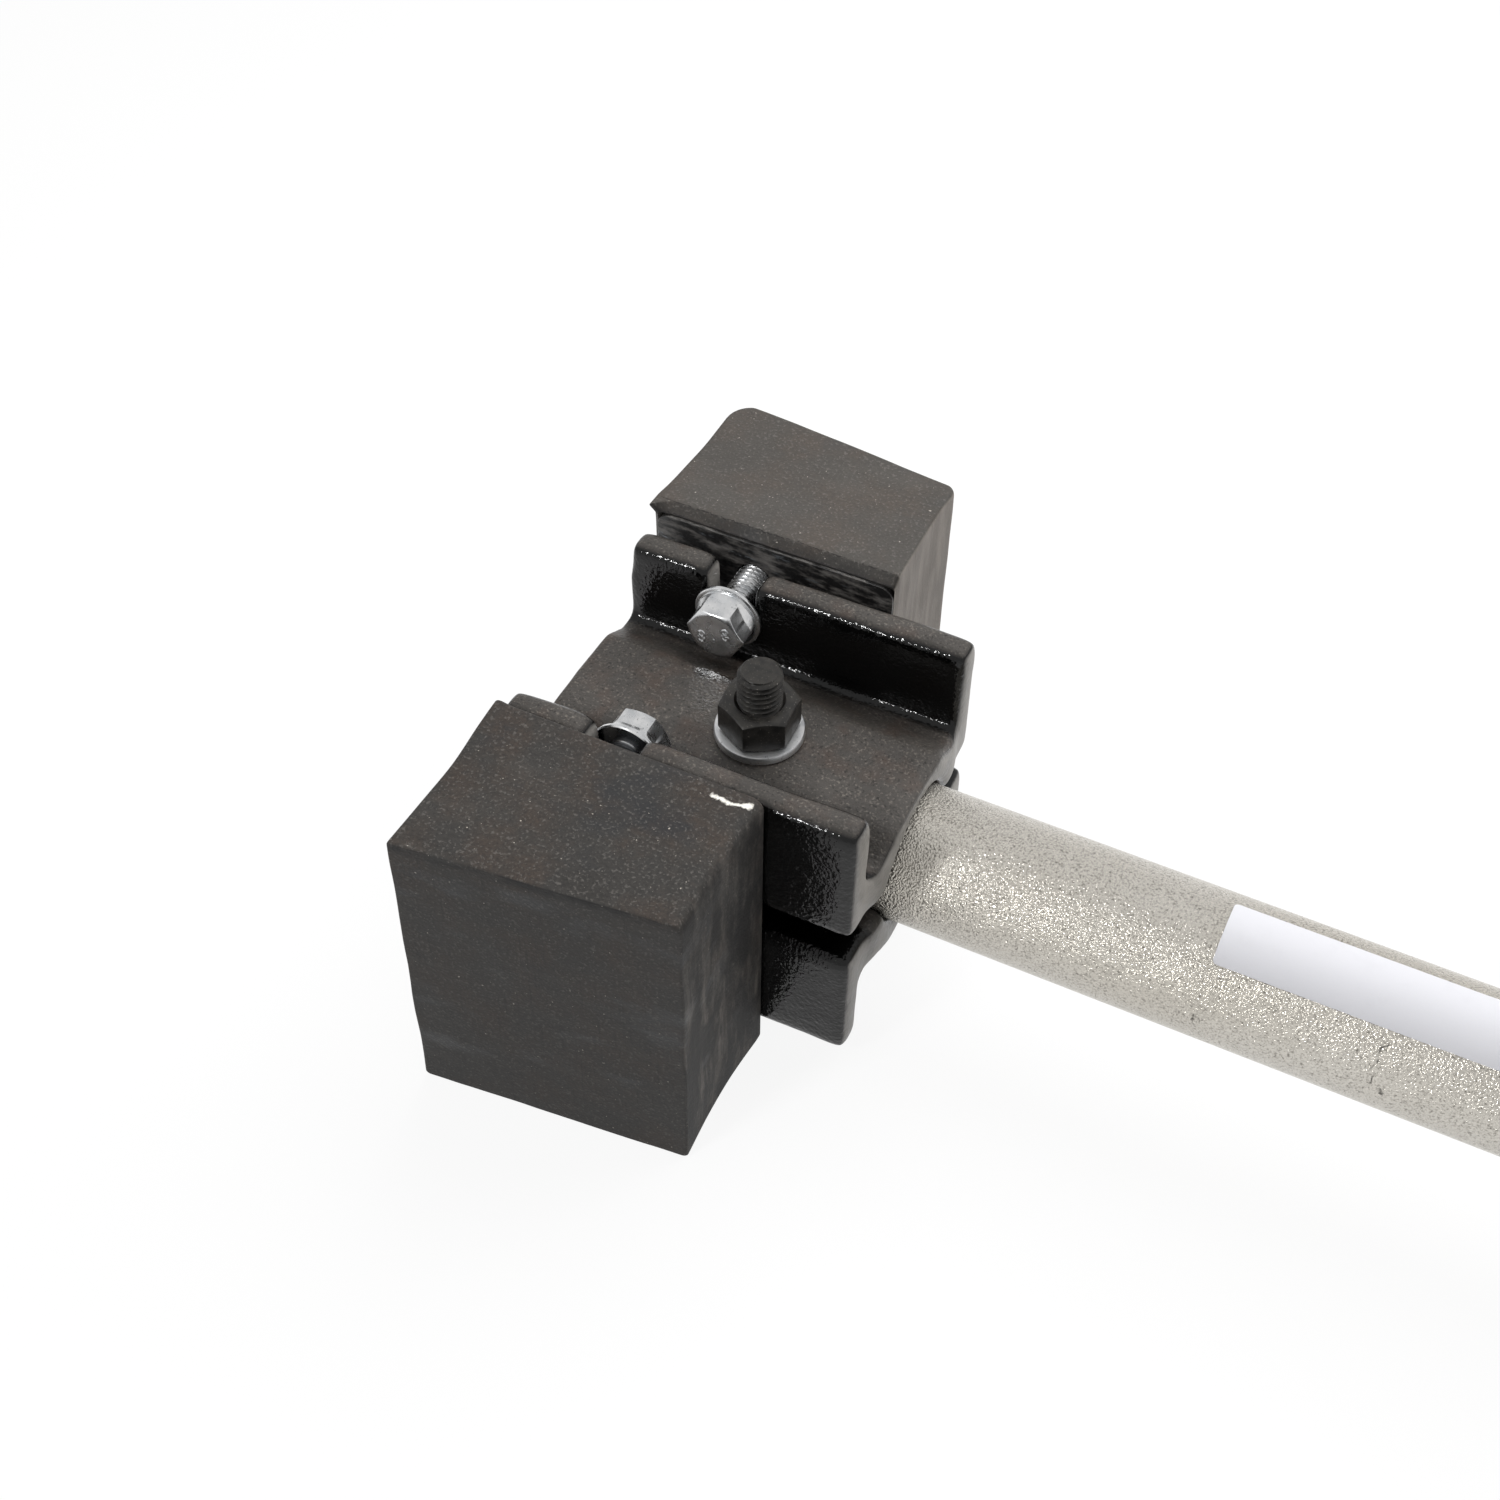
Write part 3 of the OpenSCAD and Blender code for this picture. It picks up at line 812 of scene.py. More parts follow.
# %% Make the castings
VOXEL = 0.68
SAND_SIZE, SAND_HEIGHT = 26, 0.12
RUN_SIZE, RUN_HEIGHT = 7, 0.02
INWARD = 0.15
GROOVE_REACH, GROOVE_FADE = 0.6, 3
GROOVE_CLEARANCE, SEAT_CLEARANCE = 0.12, 0.04


def cast_half(name, node, seed):
    """Copies a casting's solid, skins it with voxels, rounds it and presses waves into it."""
    half = add_object(name, joined_copy(node))
    voxels = half.modifiers.new("skin", "REMESH")
    voxels.mode = "VOXEL"
    voxels.voxel_size = VOXEL * MM
    apply_modifiers(half)
    mesh = half.data
    set_vertices(mesh, rounded_edges(mesh))
    points, normals = vertices(mesh), vertices(mesh, "normal")
    reach = np.hypot(points[:, 1], points[:, 2])
    free = np.clip((reach - tube_radius - GROOVE_REACH) / GROOVE_FADE, 0, 1)
    lumps = (SAND_HEIGHT * waves(points, SAND_SIZE, seed)
             + RUN_HEIGHT * waves(points, RUN_SIZE, seed + 1))
    points += normals * (free * (lumps - INWARD))[:, None]
    points[:, 0] = np.clip(points[:, 0], casting_low[0], casting_high[0])
    in_groove = reach < tube_radius + GROOVE_REACH
    gap = tube_radius + GROOVE_CLEARANCE
    push = np.where(in_groove, np.maximum(gap / np.maximum(reach, 1e-6), 1.0), 1.0)
    points[:, 1:] *= push[:, None]
    limit = seat - SEAT_CLEARANCE
    points[:, 1] = np.clip(points[:, 1], -limit, limit)
    set_vertices(mesh, points)
    return keep(half, name, enamel, "head_and_handle", [node], crease=60)


cast_half("upper_head_casting", "upper_casting", 11)
cast_half("lower_head_casting", "lower_casting", 31)

# %% [markdown]
# ## Threads and hexagons
#
# A bolt is one surface, from the middle of its head to its tip. Going round it, the
# radius of the hexagon is half the flats over the cosine to the nearest flat. Going
# along the shank, the radius dips by the depth of the thread, and the dip climbs one
# pitch in each turn. Modelled threads mesh in the nut and travel through it as it turns.

# %% Thread and hexagon formulas
THREAD_DEPTH = 0.6134
CREST_WIDTH, FLANK_WIDTH = 0.125, 0.625
TIP_CHAMFER = 1.05
ROWS_A_TURN = 14
COLUMNS = 144
CORNER_SHARPNESS = 170.0
HEX_SLOPE = np.tan(np.radians(30))
HEX_EASE = 0.12


def round_rows(*steps):
    """Rows of a round outline with every column written out, to join to rows that vary."""
    return [np.tile(column, COLUMNS) for column in outline(*steps)]


def hexagon_radius(flats, turn=0.0):
    """Radius of a hexagon: half the flats over the cosine to the nearest flat. A soft
    maximum of the six cosines rounds the corners a little. One corner points at turn."""
    to_flats = np.cos(angles(COLUMNS)[:, None] - np.radians(turn + 30 + 60 * np.arange(6)))
    nearest = np.log(np.exp(CORNER_SHARPNESS * to_flats).sum(1)) / CORNER_SHARPNESS
    return flats / 2 / nearest


def hexagon_rows(flats, face_share, from_face, to_height, rise, turn=0.0):
    """Rows from the middle of a hexagon's face, over its chamfer cone, down its sides."""
    corner = hexagon_radius(flats, turn)[None, :]
    face = face_share * flats / 2
    sign = np.sign(to_height - from_face)
    edge = from_face + sign * (corner - face) * HEX_SLOPE
    radius = [np.full_like(corner, face * share) for share in rise]
    height = [np.full_like(corner, from_face)] * len(rise)
    radius += [corner - HEX_EASE, corner - HEX_EASE * 0.3, corner, corner]
    height += [edge - sign * HEX_EASE * HEX_SLOPE, edge + sign * HEX_EASE * 0.3,
               edge + sign * HEX_EASE * 1.4, np.full_like(corner, to_height)]
    return np.concatenate(radius), np.concatenate(height)


def groove(height, pitch):
    """Share of the thread's depth at each height and angle of a right-hand thread: 0 on
    the crest, 1 at the root, with straight flanks between."""
    turn = (height / pitch - angles(COLUMNS)[None, :] / (2 * np.pi)) % 1
    from_crest = np.abs(turn - 0.5) * 2
    return np.clip((from_crest - CREST_WIDTH) / FLANK_WIDTH, 0, 1)


def threaded_shank(radius, pitch, plain_to, tip):
    """Rows of a shank from plain_to to its tip: a thread that starts gently, is chamfered
    at the tip and ends in a flat face."""
    steps = int(np.ceil((tip - plain_to) / pitch * ROWS_A_TURN))
    height = np.linspace(plain_to, tip, steps)[:, None]
    start = np.clip((height - plain_to) / pitch, 0, 1)
    depth = THREAD_DEPTH * pitch
    cut = radius - depth * start * groove(height, pitch)
    chamfer = radius - TIP_CHAMFER * depth + np.clip(tip - height, 0, None)
    side = np.minimum(cut, chamfer)
    rows = np.broadcast_to(height, side.shape)
    end = np.broadcast_to(tip, (3, COLUMNS))
    flat = np.array([0.92, 0.5, 0.0])[:, None] * side[-1:]
    return np.concatenate([side, flat]), np.concatenate([rows, end])


# %% [markdown]
# ## Clamp bolt, nut and washers
#
# The long bolt comes up through both castings and the tube. Its head is below, so the
# photograph shows only the tip, standing about six threads out of the nut.

# %% Make the clamp set
CLAMP_RADIUS, CLAMP_PITCH, CLAMP_FLATS = 6.0, 1.75, 19.0
HOLE_RADIUS = CLAMP_RADIUS + 0.6
THREAD_FROM = 10.0
WASHER_FACE_RADIUS, WASHER_FACE_HEIGHT = CLAMP_FLATS * 0.475, 0.4
NUT_TURN = 32.5
NUT_PLAY, NUT_MOUTH, NUT_FILL = 0.08, 0.75, 0.9
# Share of the flats that the round face inside the chamfer takes
HEAD_FACE, NUT_FACE = 0.94, 0.95


def clamp_bolt():
    """Head, plain shank and thread as one surface along the clamp axis."""
    face_z = -washer_high[2]
    side_z = face_z - WASHER_FACE_HEIGHT
    head_r, head_z = hexagon_rows(CLAMP_FLATS, HEAD_FACE, clamp_low[2], side_z,
                                  (0, 0.5, 0.97, 1.0))
    under_r, under_z = round_rows((WASHER_FACE_RADIUS, side_z), (WASHER_FACE_RADIUS, face_z),
                                  (CLAMP_RADIUS + 0.4, face_z), (CLAMP_RADIUS, face_z + 0.5))
    shank_r, shank_z = threaded_shank(CLAMP_RADIUS, CLAMP_PITCH, THREAD_FROM, clamp_high[2])
    points = turned(np.concatenate([head_r, under_r, shank_r]),
                    np.concatenate([head_z, under_z, shank_z]), COLUMNS)
    bolt = closed_mesh("clamp_through_bolt", [points])
    return keep(bolt, "clamp_through_bolt", oxide, "clamp_bolt", ["clamp_bolt"])


def clamp_nut():
    """Hexagon nut whose inner thread fits the bolt's, with a countersink at each mouth."""
    low, high = nut_low[2], nut_high[2]
    middle = (low + high) / 2
    top_r, top_z = hexagon_rows(CLAMP_FLATS, NUT_FACE, high, middle, (0.80, 1.0), NUT_TURN)
    low_r, low_z = hexagon_rows(CLAMP_FLATS, NUT_FACE, low, middle, (0.80, 1.0), NUT_TURN)
    height = np.linspace(low, high, int((high - low) / CLAMP_PITCH * ROWS_A_TURN))[:, None]
    depth = THREAD_DEPTH * CLAMP_PITCH
    bore = CLAMP_RADIUS + NUT_PLAY - NUT_FILL * depth * groove(height, CLAMP_PITCH)
    mouth = CLAMP_RADIUS + NUT_MOUTH - np.minimum(height - low, high - height)
    bore = np.maximum(bore, mouth)
    rows = np.broadcast_to(height, bore.shape)
    grid_r = np.concatenate([bore, top_r, low_r[::-1], bore[:1]])
    grid_z = np.concatenate([rows, top_z, low_z[::-1], rows[:1]])
    nut = closed_mesh("clamp_hexagon_nut", [turned(grid_r, grid_z, COLUMNS)])
    return keep(nut, "clamp_hexagon_nut", oxide, "clamp_nut", ["clamp_nut"])


def washer(name, node, low, high):
    """Flat washer with eased edges, as a closed ring."""
    outer, inner, ease = washer_high[0], HOLE_RADIUS, 0.35
    radius, height = outline(
        (inner, low + ease), (inner, high - ease), (inner + ease, high), (outer - 0.7, high),
        (outer - 0.25, high - 0.12), (outer, high - 0.5), (outer, low + ease),
        (outer - ease, low), (inner + ease, low), (inner, low + ease))
    ring = closed_mesh(name, [turned(radius, height, COLUMNS)])
    return keep(ring, name, washer_zinc, "head_and_handle", [node])


clamp_bolt()
clamp_nut()
washer("upper_flat_washer", "clamp_washer_top", washer_low[2], washer_high[2])
washer("lower_flat_washer", "clamp_washer_bottom", -washer_high[2], -washer_low[2])

# %% [markdown]
# ## Side bolts
#
# Each block hangs on two flange bolts. The flange is a thin rim with a cone above it
# that runs up into the hexagon, so the bolt needs no washer. The top of the head is
# slightly dished, and carries the raised class mark that every such bolt has.

# %% Make the four side bolts
SIDE_RADIUS, SIDE_PITCH, SIDE_FLATS = 5.0, 1.5, 15.0
SIDE_THREAD_FROM = 0.6
SIDE_FACE = 0.93
RIM, BAND, CONE = 1.3, 0.9, 1.8
CONE_FOOT = flange_radius - 1.1
HEAD = bearing - side_low[1]
DISH = 0.10
DIGIT_RADIUS, DIGIT_WIRE = 0.92, 0.32
RING_COLUMNS, RING_ROWS = 20, 9
MARK_PLACES = [(-3.7, 1.7), (3.4, -1.5)]
POINT_HEIGHT, POINT_RADIUS, POINT_WIRE = 1.6, 0.12, 0.2


def side_bolt_grid():
    """A flange bolt along Z with its flange's bearing face at 0 and its head below. The
    cone's rows go in a straight line from the hexagon to the cone's foot."""
    head_r, head_z = hexagon_rows(SIDE_FLATS, SIDE_FACE, -HEAD, -RIM,
                                  (0, 0.45, 0.66, 0.82, 0.94, 1.0))
    head_z[:3] += DISH
    blend = np.linspace(0, 1, 6)[:, None]
    corner = hexagon_radius(SIDE_FLATS)[None, :]
    cone_r = np.minimum(corner, CONE_FOOT) * (1 - blend) + CONE_FOOT * blend
    cone_z = -RIM - BAND - CONE * (1 - blend) + 0 * corner
    rim_r, rim_z = round_rows(
        (CONE_FOOT, -RIM - BAND + 0.25), (CONE_FOOT - 0.15, -RIM - 0.1),
        (flange_radius - 0.45, -RIM), (flange_radius - 0.1, -RIM + 0.15),
        (flange_radius, -RIM + 0.4), (flange_radius, -0.35), (flange_radius - 0.3, 0.0),
        (SIDE_RADIUS + 0.15, 0.0), (SIDE_RADIUS, 0.2))
    shank_r, shank_z = threaded_shank(SIDE_RADIUS, SIDE_PITCH, SIDE_THREAD_FROM, side_shank)
    return turned(np.concatenate([head_r[:-1], cone_r, rim_r, shank_r]),
                  np.concatenate([head_z[:-1], cone_z, rim_z, shank_z]), COLUMNS)


def ring_of_wire(centre, radius, wire):
    """A small raised ring, as one loop of the digit 8: a torus half sunk in the face."""
    around = np.linspace(0, 2 * np.pi, RING_COLUMNS, endpoint=False)[None, :]
    across = np.linspace(0, 2 * np.pi, RING_ROWS)[:, None]
    reach = radius + wire * np.cos(across)
    depth = wire * np.sin(across) + 0 * around
    return np.stack([centre[0] + reach * np.cos(around), centre[1] + reach * np.sin(around),
                     centre[2] + depth], -1)


def class_mark(face):
    """The strength class 8.8, which any bolt of this grade carries, as raised rings: a
    digit on each side of the middle of the face and a point between them."""
    parts = [ring_of_wire((x, y + way * DIGIT_RADIUS, face), DIGIT_RADIUS, DIGIT_WIRE)
             for x, y in MARK_PLACES for way in (-1, 1)]
    return parts + [ring_of_wire((0.0, POINT_HEIGHT, face), POINT_RADIUS, POINT_WIRE)]


def side_bolt(side, level):
    """Places one flange bolt: side is 1 for the back wall, level is 1 for the upper one."""
    node = f"{SIDE_WORD[side]}_bolt_{LEVEL_WORD[level]}"
    name = f"{SIDE_WORD[side]}_{LEVEL_WORD[level]}_flange_bolt"
    origin = np.array([side_x, side * bearing, side_level(side, level)])
    shapes = [aimed(grid, origin, (0, side, 0))
              for grid in [side_bolt_grid()] + class_mark(-HEAD + DISH)]
    return keep(closed_mesh(name, shapes), name, zinc, node, [node])


for side in (1, -1):
    for level_sign in (1, -1):
        side_bolt(side, level_sign)

# %% [markdown]
# ## Rubber blocks
#
# A block is a wedge with a recess for its steel plate. It is made as one outline that is
# carried round a rectangle with round corners: in at the plate, out over the chamfered
# lip, along the side, round the edge and across the striking face to its middle. Thick
# rubber shrinks as it cures, so the sides are pulled in a little between plate and face.
# Where the mould closed, a pointed tip of flash stands at two corners of the lip.

# %% Outline and rows of a block
LIP_WIDTH, PLATE_THICK, WEDGE = 3.0, 5.0, 8.5
PLATE_INSETS = (30, 16, LIP_WIDTH)
CORNER_COUNT, SIDE_COUNT = 6, 46
ROWS_ALONG, ROWS_ACROSS = 36, 26
EDGE_ANGLES = [12, 24, 36, 48, 60, 72, 82]


def rounded_rectangle(half_width, half_height, radius):
    """Points round a rectangle with round corners, always the same number, centred on 0.
    The four radii run anticlockwise from the corner at the high end of both sides."""
    radii = np.minimum(np.broadcast_to(radius, 4), min(half_width, half_height))
    quarter = np.linspace(0, np.pi / 2, CORNER_COUNT + 1)
    arc = np.stack([np.cos(quarter), np.sin(quarter)], 1)
    size = np.array([half_width, half_height])
    turns = [np.array([[c, s], [-s, c]]) for c, s in ((1, 0), (0, 1), (-1, 0), (0, -1))]
    signs = np.array([[1, 1], [-1, 1], [-1, -1], [1, -1]])
    corners = [r * (arc @ turn) + sign * (size - r) for turn, sign, r in zip(turns, signs, radii)]
    share = np.linspace(0, 1, SIDE_COUNT + 2)[1:-1, None]
    points = []
    for i, corner in enumerate(corners):
        after = corners[(i + 1) % 4][0]
        points += [corner, corner[-1] * (1 - share) + after * share]
    return np.concatenate(points)


def drawn_in(radius, left):
    """How far an edge of this radius draws a side in at a distance left from the face."""
    inside = np.clip(radius - left, 0, radius)
    return radius - np.sqrt(np.clip(radius ** 2 - inside ** 2, 0, None))


def block_rows(proud, chamfer, edges, face_width):
    """Rows of a block, each an inset at the plate, a fixed depth, a share of the side, a
    distance left to the face and an inset on the face. The edges are the radii of the
    face's edges along the far, the near and both level sides."""
    top = proud + chamfer
    lip = [(inset, PLATE_THICK) for inset in PLATE_INSETS]
    lip += [(LIP_WIDTH, proud), (chamfer, proud), (0.25, top - 0.25), (0.06, top + 0.05),
            (0, top + 0.35)]
    deepest = max(edges)
    rows = [(inset, deep, 0.0, deepest, 0.0) for inset, deep in lip]
    rows += [(0, lip[-1][1], share, deepest, 0.0) for share in np.linspace(0.03, 1.0, ROWS_ALONG)]
    steps = 1 - np.sin(np.radians(EDGE_ANGLES))
    left = {round(radius * step, 4) for radius in edges for step in (*steps, 1)} | {0.0}
    rows += [(0, 0.0, 1.0, distance, 0.0) for distance in sorted(left, reverse=True)
             if distance < deepest]
    across = [*np.linspace(0.8, face_width / 2 - 0.6, ROWS_ACROSS), face_width / 2]
    return rows + [(0, 0.0, 1.0, 0.0, inset) for inset in across]


# %% Make the blocks
FLASH_WIDTH = 3.2
LEAST_HALF = 1e-4
PINCH_FROM, PINCH_POWER, LEVEL_PINCH = 0.06, 1.2, 0.4
# Size and height in mm of the waves in a block's sides, along and across it
LONG_SWELL, SHORT_SWELL, SWELL_INWARD = (38, 0.12), (9, 0.02), 0.1
ACROSS_SWELL, UPRIGHT_SWELL, SIDES_INWARD = (21, 0.10), (24, 0.10), 0.15
SWELL_FADE = 6


def swollen(points, proud_edge, depth_far, middle, seed):
    """Presses waves into a block's points, which fade out towards its lip."""
    fade = np.clip((points[:, 1] - proud_edge) / SWELL_FADE, 0, 1)
    inward = SIDES_INWARD * (fade[:, None] * np.sign(points - middle))
    (long_size, long_height), (short_size, short_height) = LONG_SWELL, SHORT_SWELL
    swell = (long_height * waves(points, long_size, seed)
             + short_height * waves(points, short_size, seed + 1) - SWELL_INWARD)
    points[:, 1] += swell * fade * (points[:, 1] / depth_far)
    for axis, (size, height), draw in ((0, ACROSS_SWELL, 2), (2, UPRIGHT_SWELL, 3)):
        points[:, axis] += fade * height * waves(points, size, seed + draw) - inward[:, axis]
    return points


def block_grid(side, proud, chamfer, edges, radii, near_in, lean, droop, taper, hollow,
               flash, seed):
    """Rows of points of one block: x along the handle, z up and y away from the seat. The
    side ends at the wedge's face less the distance left; a tip of flash stands at the two
    far corners of the lip, as a bell curve that takes the chamfer away."""
    low, high = span(SIDE_WORD[side] + "_rubber_block")
    plate = plate_inside(side)
    depth_far = max(abs(low[1]), abs(high[1])) - plate
    depth_near = depth_far - WEDGE
    middle = (low + high) / 2
    width, _, tall = high - low
    far_edge, near_edge, edge = edges
    face_width = width - near_in - far_edge - near_edge
    grid = []
    for inset, deep, share, left, face_inset in block_rows(proud, chamfer, edges, face_width):
        near = near_in + inset * (1 - near_in / LIP_WIDTH) if inset < LIP_WIDTH else inset
        x_low = low[0] + inset + drawn_in(far_edge, left) + face_inset
        x_high = high[0] - near - drawn_in(near_edge, left) - face_inset
        half_h = tall / 2 - inset - drawn_in(edge, left) - face_inset
        loop = rounded_rectangle(max((x_high - x_low) / 2, LEAST_HALF), half_h, radii)
        x, z = loop[:, 0] + (x_low + x_high) / 2, loop[:, 1]
        farness = np.clip((high[0] - x) / width, 0, 1)
        rise = np.clip(z / tall + 0.5, 0, 1)
        reach = depth_near + WEDGE * farness - droop * rise
        depth = deep * (1 - share) + (reach - left) * share
        along = np.clip(depth / reach, 0, 1)
        bowed = np.sin(np.pi * np.clip((along - PINCH_FROM) / (1 - PINCH_FROM), 0, 1))
        pinch = hollow * bowed ** PINCH_POWER / (width / 2)
        x = middle[0] + (x - middle[0]) * (1 - pinch)
        z = z * (1 - LEVEL_PINCH * pinch)
        x = x + farness * (along * taper + lean[0] + (lean[1] - lean[0]) * rise)
        if share == 0 and inset < LIP_WIDTH:
            to_corner = np.hypot(loop[:, 0] + (x_high - x_low) / 2, half_h - np.abs(loop[:, 1]))
            tip = np.exp(-(to_corner / FLASH_WIDTH) ** 2)
            depth = depth - tip * (1 - inset / LIP_WIDTH) * (chamfer + flash)
        grid.append(np.stack([x, depth, middle[2] + z], 1))
    grid = np.array(grid)
    flat = swollen(grid.reshape(-1, 3), proud + chamfer, depth_far, middle, seed)
    flat[:, [0, 2]] = np.clip(flat[:, [0, 2]], low[[0, 2]], high[[0, 2]])
    flat[:, 1] = side * (plate + np.minimum(flat[:, 1], depth_far))
    return flat.reshape(grid.shape)


def bolt_pocket(side, level):
    """A closed cylinder that leaves room for a weld nut and a bolt's end behind the plate."""
    nut_room, nut_deep = 9.9, 9.1
    bolt_room, bolt_deep = 5.6, 17.8
    radius, depth = outline((0, 0), (nut_room, 0), (nut_room, nut_deep), (bolt_room, nut_deep),
                            (bolt_room, bolt_deep), (0, bolt_deep))
    start = plate_inside(side) + PLATE_THICK - 1
    centre = np.array([side_x, side * start, side_level(side, level)])
    return closed_mesh("pocket", [aimed(turned(radius, depth, 48), centre, (0, side, 0))])


def block(side, **shape):
    """One rubber block, with pockets cut behind its plate."""
    word = SIDE_WORD[side]
    body = closed_mesh(f"{word}_moulded_rubber", [block_grid(side, **shape)])
    cut_away(body, [bolt_pocket(side, level) for level in (1, -1)])
    return keep(body, f"{word}_moulded_rubber", rubber, f"{word}_block",
                [f"{word}_rubber_block"], crease=28)


block(-1, proud=0.15, chamfer=0.5, edges=(0.9, 0.8, 0.7), radii=(3.2, 1.3, 1.3, 1.3),
      near_in=0.0, lean=(0.0, 2.0), droop=0.6, taper=1.2, hollow=0.7, flash=0.1, seed=51)
block(1, proud=0.8, chamfer=2.5, edges=(8.0, 3.5, 0.9), radii=1.3, near_in=2.6,
      lean=(0.5, 0.5), droop=0.0, taper=1.2, hollow=0.8, flash=1.3, seed=71)

# %% [markdown]
# ## Plates and weld nuts
#
# These are plain punched and pressed pieces, and CAD has their shape. A merged copy with
# a small bevel gives them the eased edges that catch the light.

# %% Make the plates and weld nuts
SHARPER_THAN = 40
PLATE_EASE, WELD_NUT_EASE = 0.25, 0.4


def eased_copy(name, node, width, material, body):
    """Copies a node and bevels every edge that turns by more than 40 degrees."""
    copy = add_object(name, joined_copy(node, flat=0.5))
    bevel = copy.modifiers.new("eased edges", "BEVEL")
    bevel.width = width * MM
    bevel.segments = 3
    bevel.limit_method = "ANGLE"
    bevel.angle_limit = np.radians(SHARPER_THAN)
    return keep(copy, name, material, body, [node])


for word in ("front", "back"):
    eased_copy(f"{word}_steel_plate", f"{word}_backing_plate", PLATE_EASE, plate_paint,
               f"{word}_block")
    for place in ("upper", "lower"):
        eased_copy(f"{word}_{place}_weld_nut", f"{word}_weld_nut_{place}", WELD_NUT_EASE,
                   raw_steel, f"{word}_block")

# %% [markdown]
# ## Tube, label and plugs
#
# The tube is cut square, with its edge broken by a file. It is turned as one closed
# surface, outside and inside, and the hole for the clamp bolt is drilled through it. The
# label is a thin sheet that is bent round the tube: a rectangle with round corners
# whose width is measured along the arc.

# %% Make the handle
TUBE_WALL, TUBE_EASE = 3.0, 0.5
DRILL_REACH = 30
TUBE_ROWS, TUBE_COLUMNS, INSIDE_STEP = 240, 128, 30
LABEL_WIDTH, LABEL_THICK, LABEL_CORNER = 18.5, 0.22, 1.2
LABEL_GAP = 0.03
LABEL_TURN = np.radians(10)
LABEL_WAVE_SIZE, LABEL_WAVE_HEIGHT, LABEL_SEED = 9, 0.025, 91


def handle_tube():
    """Tube along X: outside, inside and the cross hole for the clamp bolt."""
    length = tube_high[0] - tube_low[0]
    outside = np.linspace(TUBE_EASE, length - TUBE_EASE, TUBE_ROWS)
    inside = outside[::-INSIDE_STEP]
    mouth, bore = tube_radius - TUBE_EASE, tube_radius - TUBE_WALL
    radius, height = outline(
        (mouth, 0), *[(tube_radius, x) for x in outside], (mouth, length), (bore, length),
        *[(bore, x) for x in inside], (bore, 0), (mouth, 0))
    origin = np.array([tube_low[0], 0, 0])
    grid = aimed(turned(radius, height, TUBE_COLUMNS), origin, (1, 0, 0), (0, 0, 1))
    tube = closed_mesh("silver_tube", [grid])
    drill_r, drill_z = outline((0, -DRILL_REACH), (HOLE_RADIUS, -DRILL_REACH),
                               (HOLE_RADIUS, DRILL_REACH), (0, DRILL_REACH))
    cut_away(tube, [closed_mesh("drill", [turned(drill_r, drill_z, 64)])])
    return keep(tube, "silver_tube", silver, "head_and_handle", ["handle_tube"])


def label_strip():
    """Label bent round the tube: arc length across, x along, thickness outwards. Its rows
    run from the middle of the back over the edge to the middle of the front."""
    low, high = span("handle_label")
    nearest = tube_radius + LABEL_GAP
    half_w, half_l = LABEL_WIDTH / 2, (high[0] - low[0]) / 2
    rows = [(inset, 0.0) for inset in (half_w, 6, 3, 0)]
    rows += [(inset, 1.0) for inset in (0, 0.3, 1, 2.5, 4.5, 7, half_w)]
    grid = []
    for inset, layer in rows:
        loop = rounded_rectangle(max(half_w - inset, LEAST_HALF), half_l - inset, LABEL_CORNER)
        across, along = loop[:, 0], loop[:, 1]
        place = np.stack([across, along, 0 * along], 1)
        lift = np.abs(LABEL_WAVE_HEIGHT * waves(place, LABEL_WAVE_SIZE, LABEL_SEED))
        radius = nearest + layer * (LABEL_THICK + lift)
        angle = np.pi / 2 + LABEL_TURN + across / nearest
        grid.append(np.stack([(low[0] + high[0]) / 2 + along, radius * np.cos(angle),
                              radius * np.sin(angle)], 1))
    strip = closed_mesh("blank_label", [np.array(grid)])
    return keep(strip, "blank_label", label_paper, "head_and_handle",
                ["handle_label"])


def end_plug(name, node, mouth, direction):
    """Plastic plug: a slightly domed head with a ring moulded into it, and a shank."""
    head, edge, shank = tube_radius - 0.3, 1.0, tube_radius - TUBE_WALL - 0.1
    radius, height = outline(
        (0, -2.5), (5, -2.48), (9.5, -2.42), (10, -2.15), (10.8, -2.15), (11.3, -2.4),
        (head - edge, -2.3), (head - 0.4, -2.05), (head - 0.1, -1.6), (head, -1.0),
        (head, -0.2), (head - 0.2, 0), (shank, 0), (shank, 12.5), (shank - 0.5, 13.6),
        (shank - 1.2, 14), (0, 14))
    grid = aimed(turned(radius, height, 96), np.array([mouth, 0, 0]), (direction, 0, 0), (0, 0, 1))
    plug = closed_mesh(name, [grid])
    return keep(plug, name, plug_plastic, "head_and_handle", [node])


handle_tube()
label_strip()
end_plug("free_end_plug", "handle_end_plug", tube_high[0], -1)
end_plug("head_side_plug", "head_end_plug", tube_low[0], 1)

# %% [markdown]
# ## Studio
#
# The photograph has a white background and soft light. Three panels light the matt
# surfaces: a large one overhead and behind, one at the right, and a small one at the
# front left, which is the brightest for its size. A fourth, small one shows only in
# reflections: it draws the bright line along the tube and the glints on the rounded edges
# of the black walls. Keeping gloss and matt light apart lets each be set alone. The floor
# adds white where the camera or a reflection looks at it, and still keeps the shadow of
# the head.

# %% Floor, world and lamps
FLOOR_DROP = 0.3
FLOOR_REACH = 12.0
FLOOR_GLOW, FLOOR_MIRRORED = 0.90, 0.82
WHITE, PALE = (1, 1, 1, 1), (0.8, 0.8, 0.8, 1)


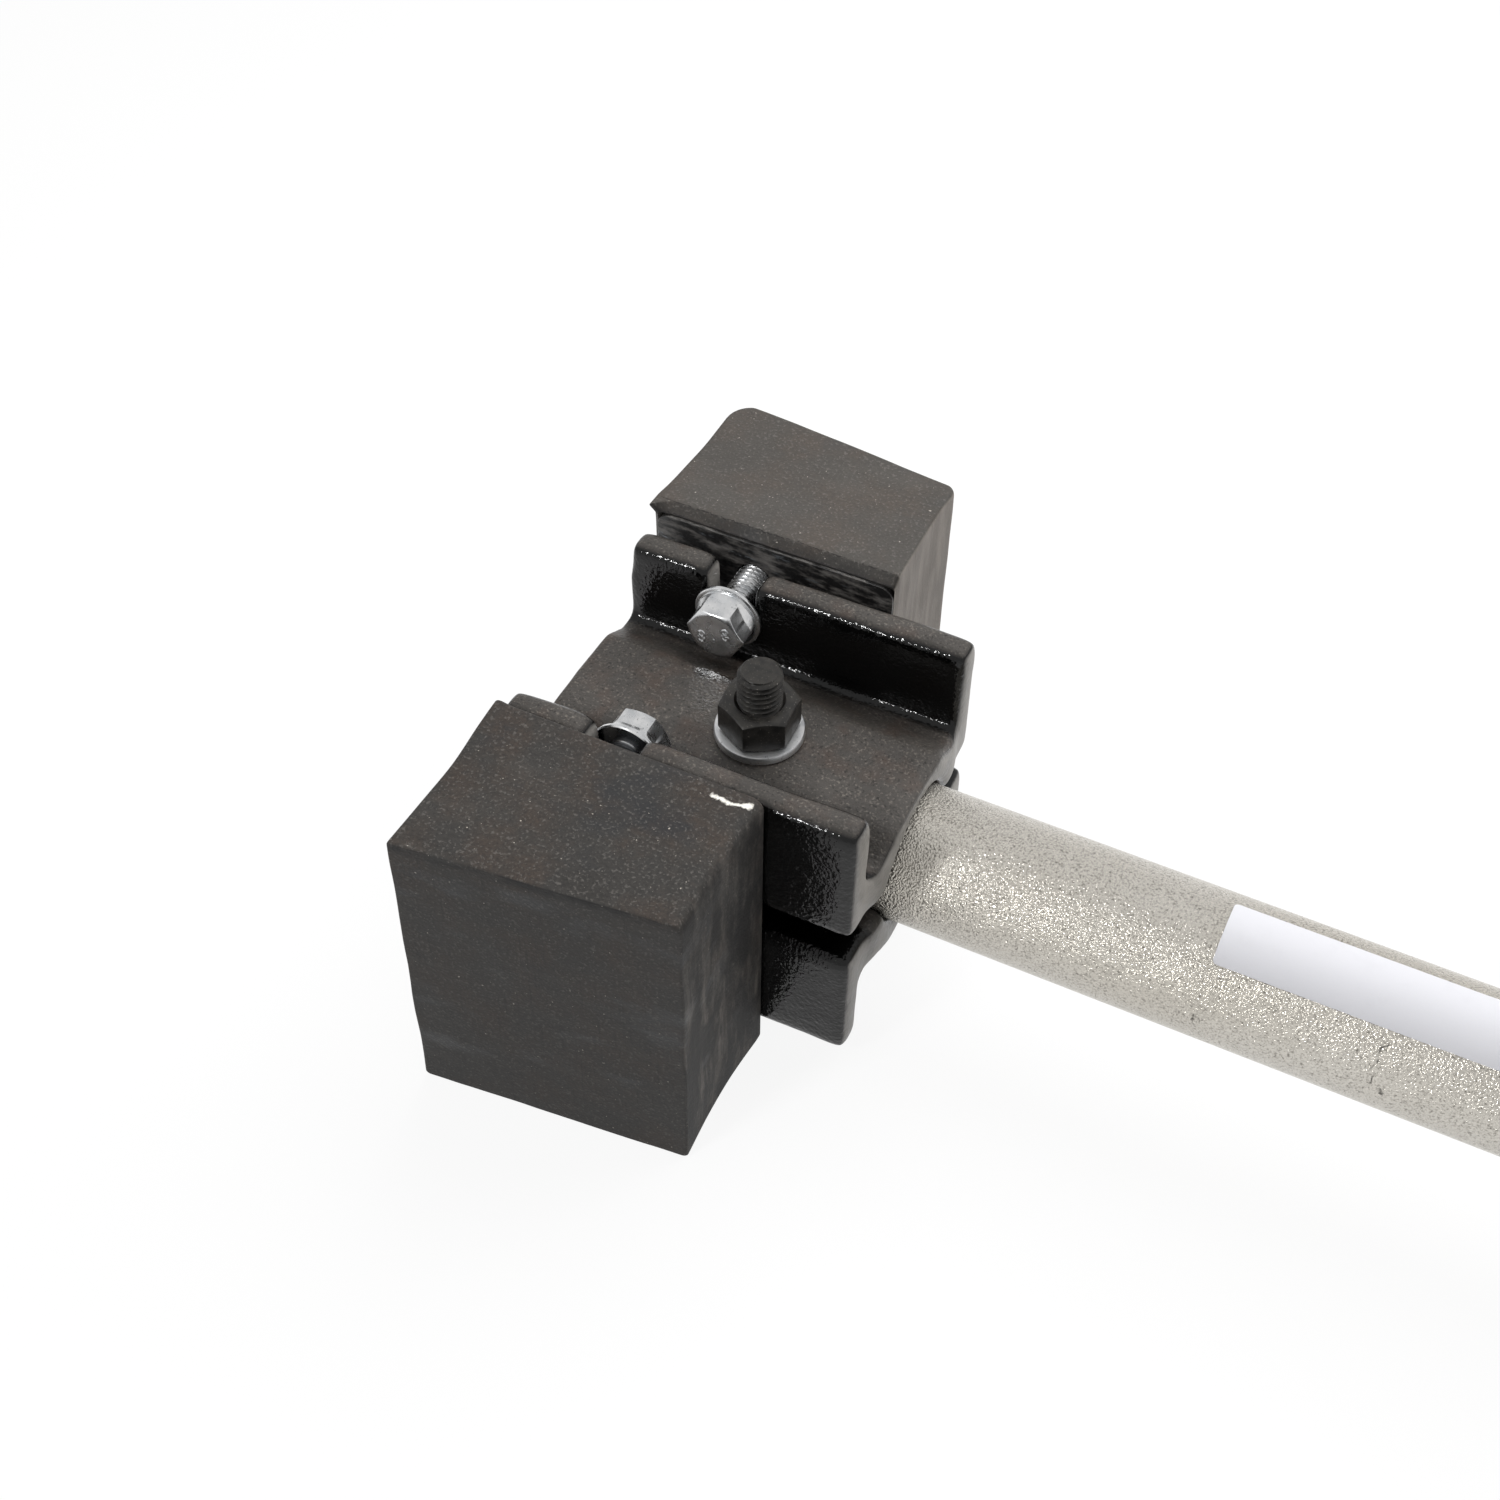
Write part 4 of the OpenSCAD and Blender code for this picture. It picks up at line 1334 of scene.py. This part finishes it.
def studio_floor():
    """A wide white plane that is lit like any other and adds a share of plain white."""
    reach, z = FLOOR_REACH, (span("front_rubber_block")[0][2] - FLOOR_DROP) * MM
    mesh = bpy.data.meshes.new("floor")
    mesh.from_pydata([(-reach, -reach, z), (reach, -reach, z), (reach, reach, z),
                      (-reach, reach, z)], [], [(0, 1, 2, 3)])
    floor = add_object("floor", mesh)
    material, tree, _ = new_material("studio floor")
    rays = add(tree, "LightPath").node.outputs
    seen = either(tree, rays["Is Camera Ray"],
                  overlap(tree, rays["Is Glossy Ray"], FLOOR_MIRRORED))
    matt = add(tree, "BsdfDiffuse", PALE)
    white = add(tree, "Emission", WHITE, 1.0)
    glow = add(tree, "MixShader", overlap(tree, seen, FLOOR_GLOW), matt, white)
    add(tree, "OutputMaterial", glow)
    mesh.materials.append(material)
    return floor


def studio_world(fill, mirrored):
    """Grey light from all round, white to the camera and nearly white in reflections."""
    world = bpy.data.worlds.new("studio")
    bpy.context.scene.world = world
    world.use_nodes = True
    tree = world.node_tree
    tree.nodes.clear()
    rays = add(tree, "LightPath").node.outputs
    plain, gloss, white = [add(tree, "Background", WHITE, strength)
                           for strength in (fill, mirrored, 1.0)]
    lit = add(tree, "MixShader", rays["Is Glossy Ray"], plain, gloss)
    add(tree, "OutputWorld", add(tree, "MixShader", rays["Is Camera Ray"], lit, white))


def panel(name, direction, away, size, power, shows):
    """A soft light that stands in a direction from the head and faces it. It shows either
    as gloss, mirrored in the surfaces, or as the matt light that falls on them."""
    lamp = bpy.data.lights.new(name, "AREA")
    lamp.shape = "RECTANGLE"
    lamp.size, lamp.size_y = size
    lamp.energy = power
    holder = add_object(name, lamp)
    holder.visible_glossy = shows == "gloss"
    holder.visible_diffuse = shows == "matt"
    toward = np.array(direction, float) / np.linalg.norm(direction)
    side_axis = np.cross((0, 0, 1), toward)
    side_axis /= np.linalg.norm(side_axis)
    set_axes(holder, (side_axis, np.cross(toward, side_axis), toward), toward * away)


studio_floor()
studio_world(0.30, 0.72)
panel("key", (-0.285, -0.66, 0.69), 1.3, (0.20, 0.14), 7.5, "matt")
panel("key gloss", (-0.34, -0.80, 0.52), 0.85, (0.09, 0.06), 2.9, "gloss")
panel("overhead", (0.10, 0.52, 0.85), 0.70, (0.7, 0.6), 6.8, "matt")
panel("right", (0.70, 0.62, 0.36), 1.0, (0.5, 0.5), 5.0, "matt")

# %% [markdown]
# ## View
#
# Standard is chosen as the view so that colours show as they are written.

# %% Set the view
bpy.context.scene.view_settings.view_transform = "Standard"
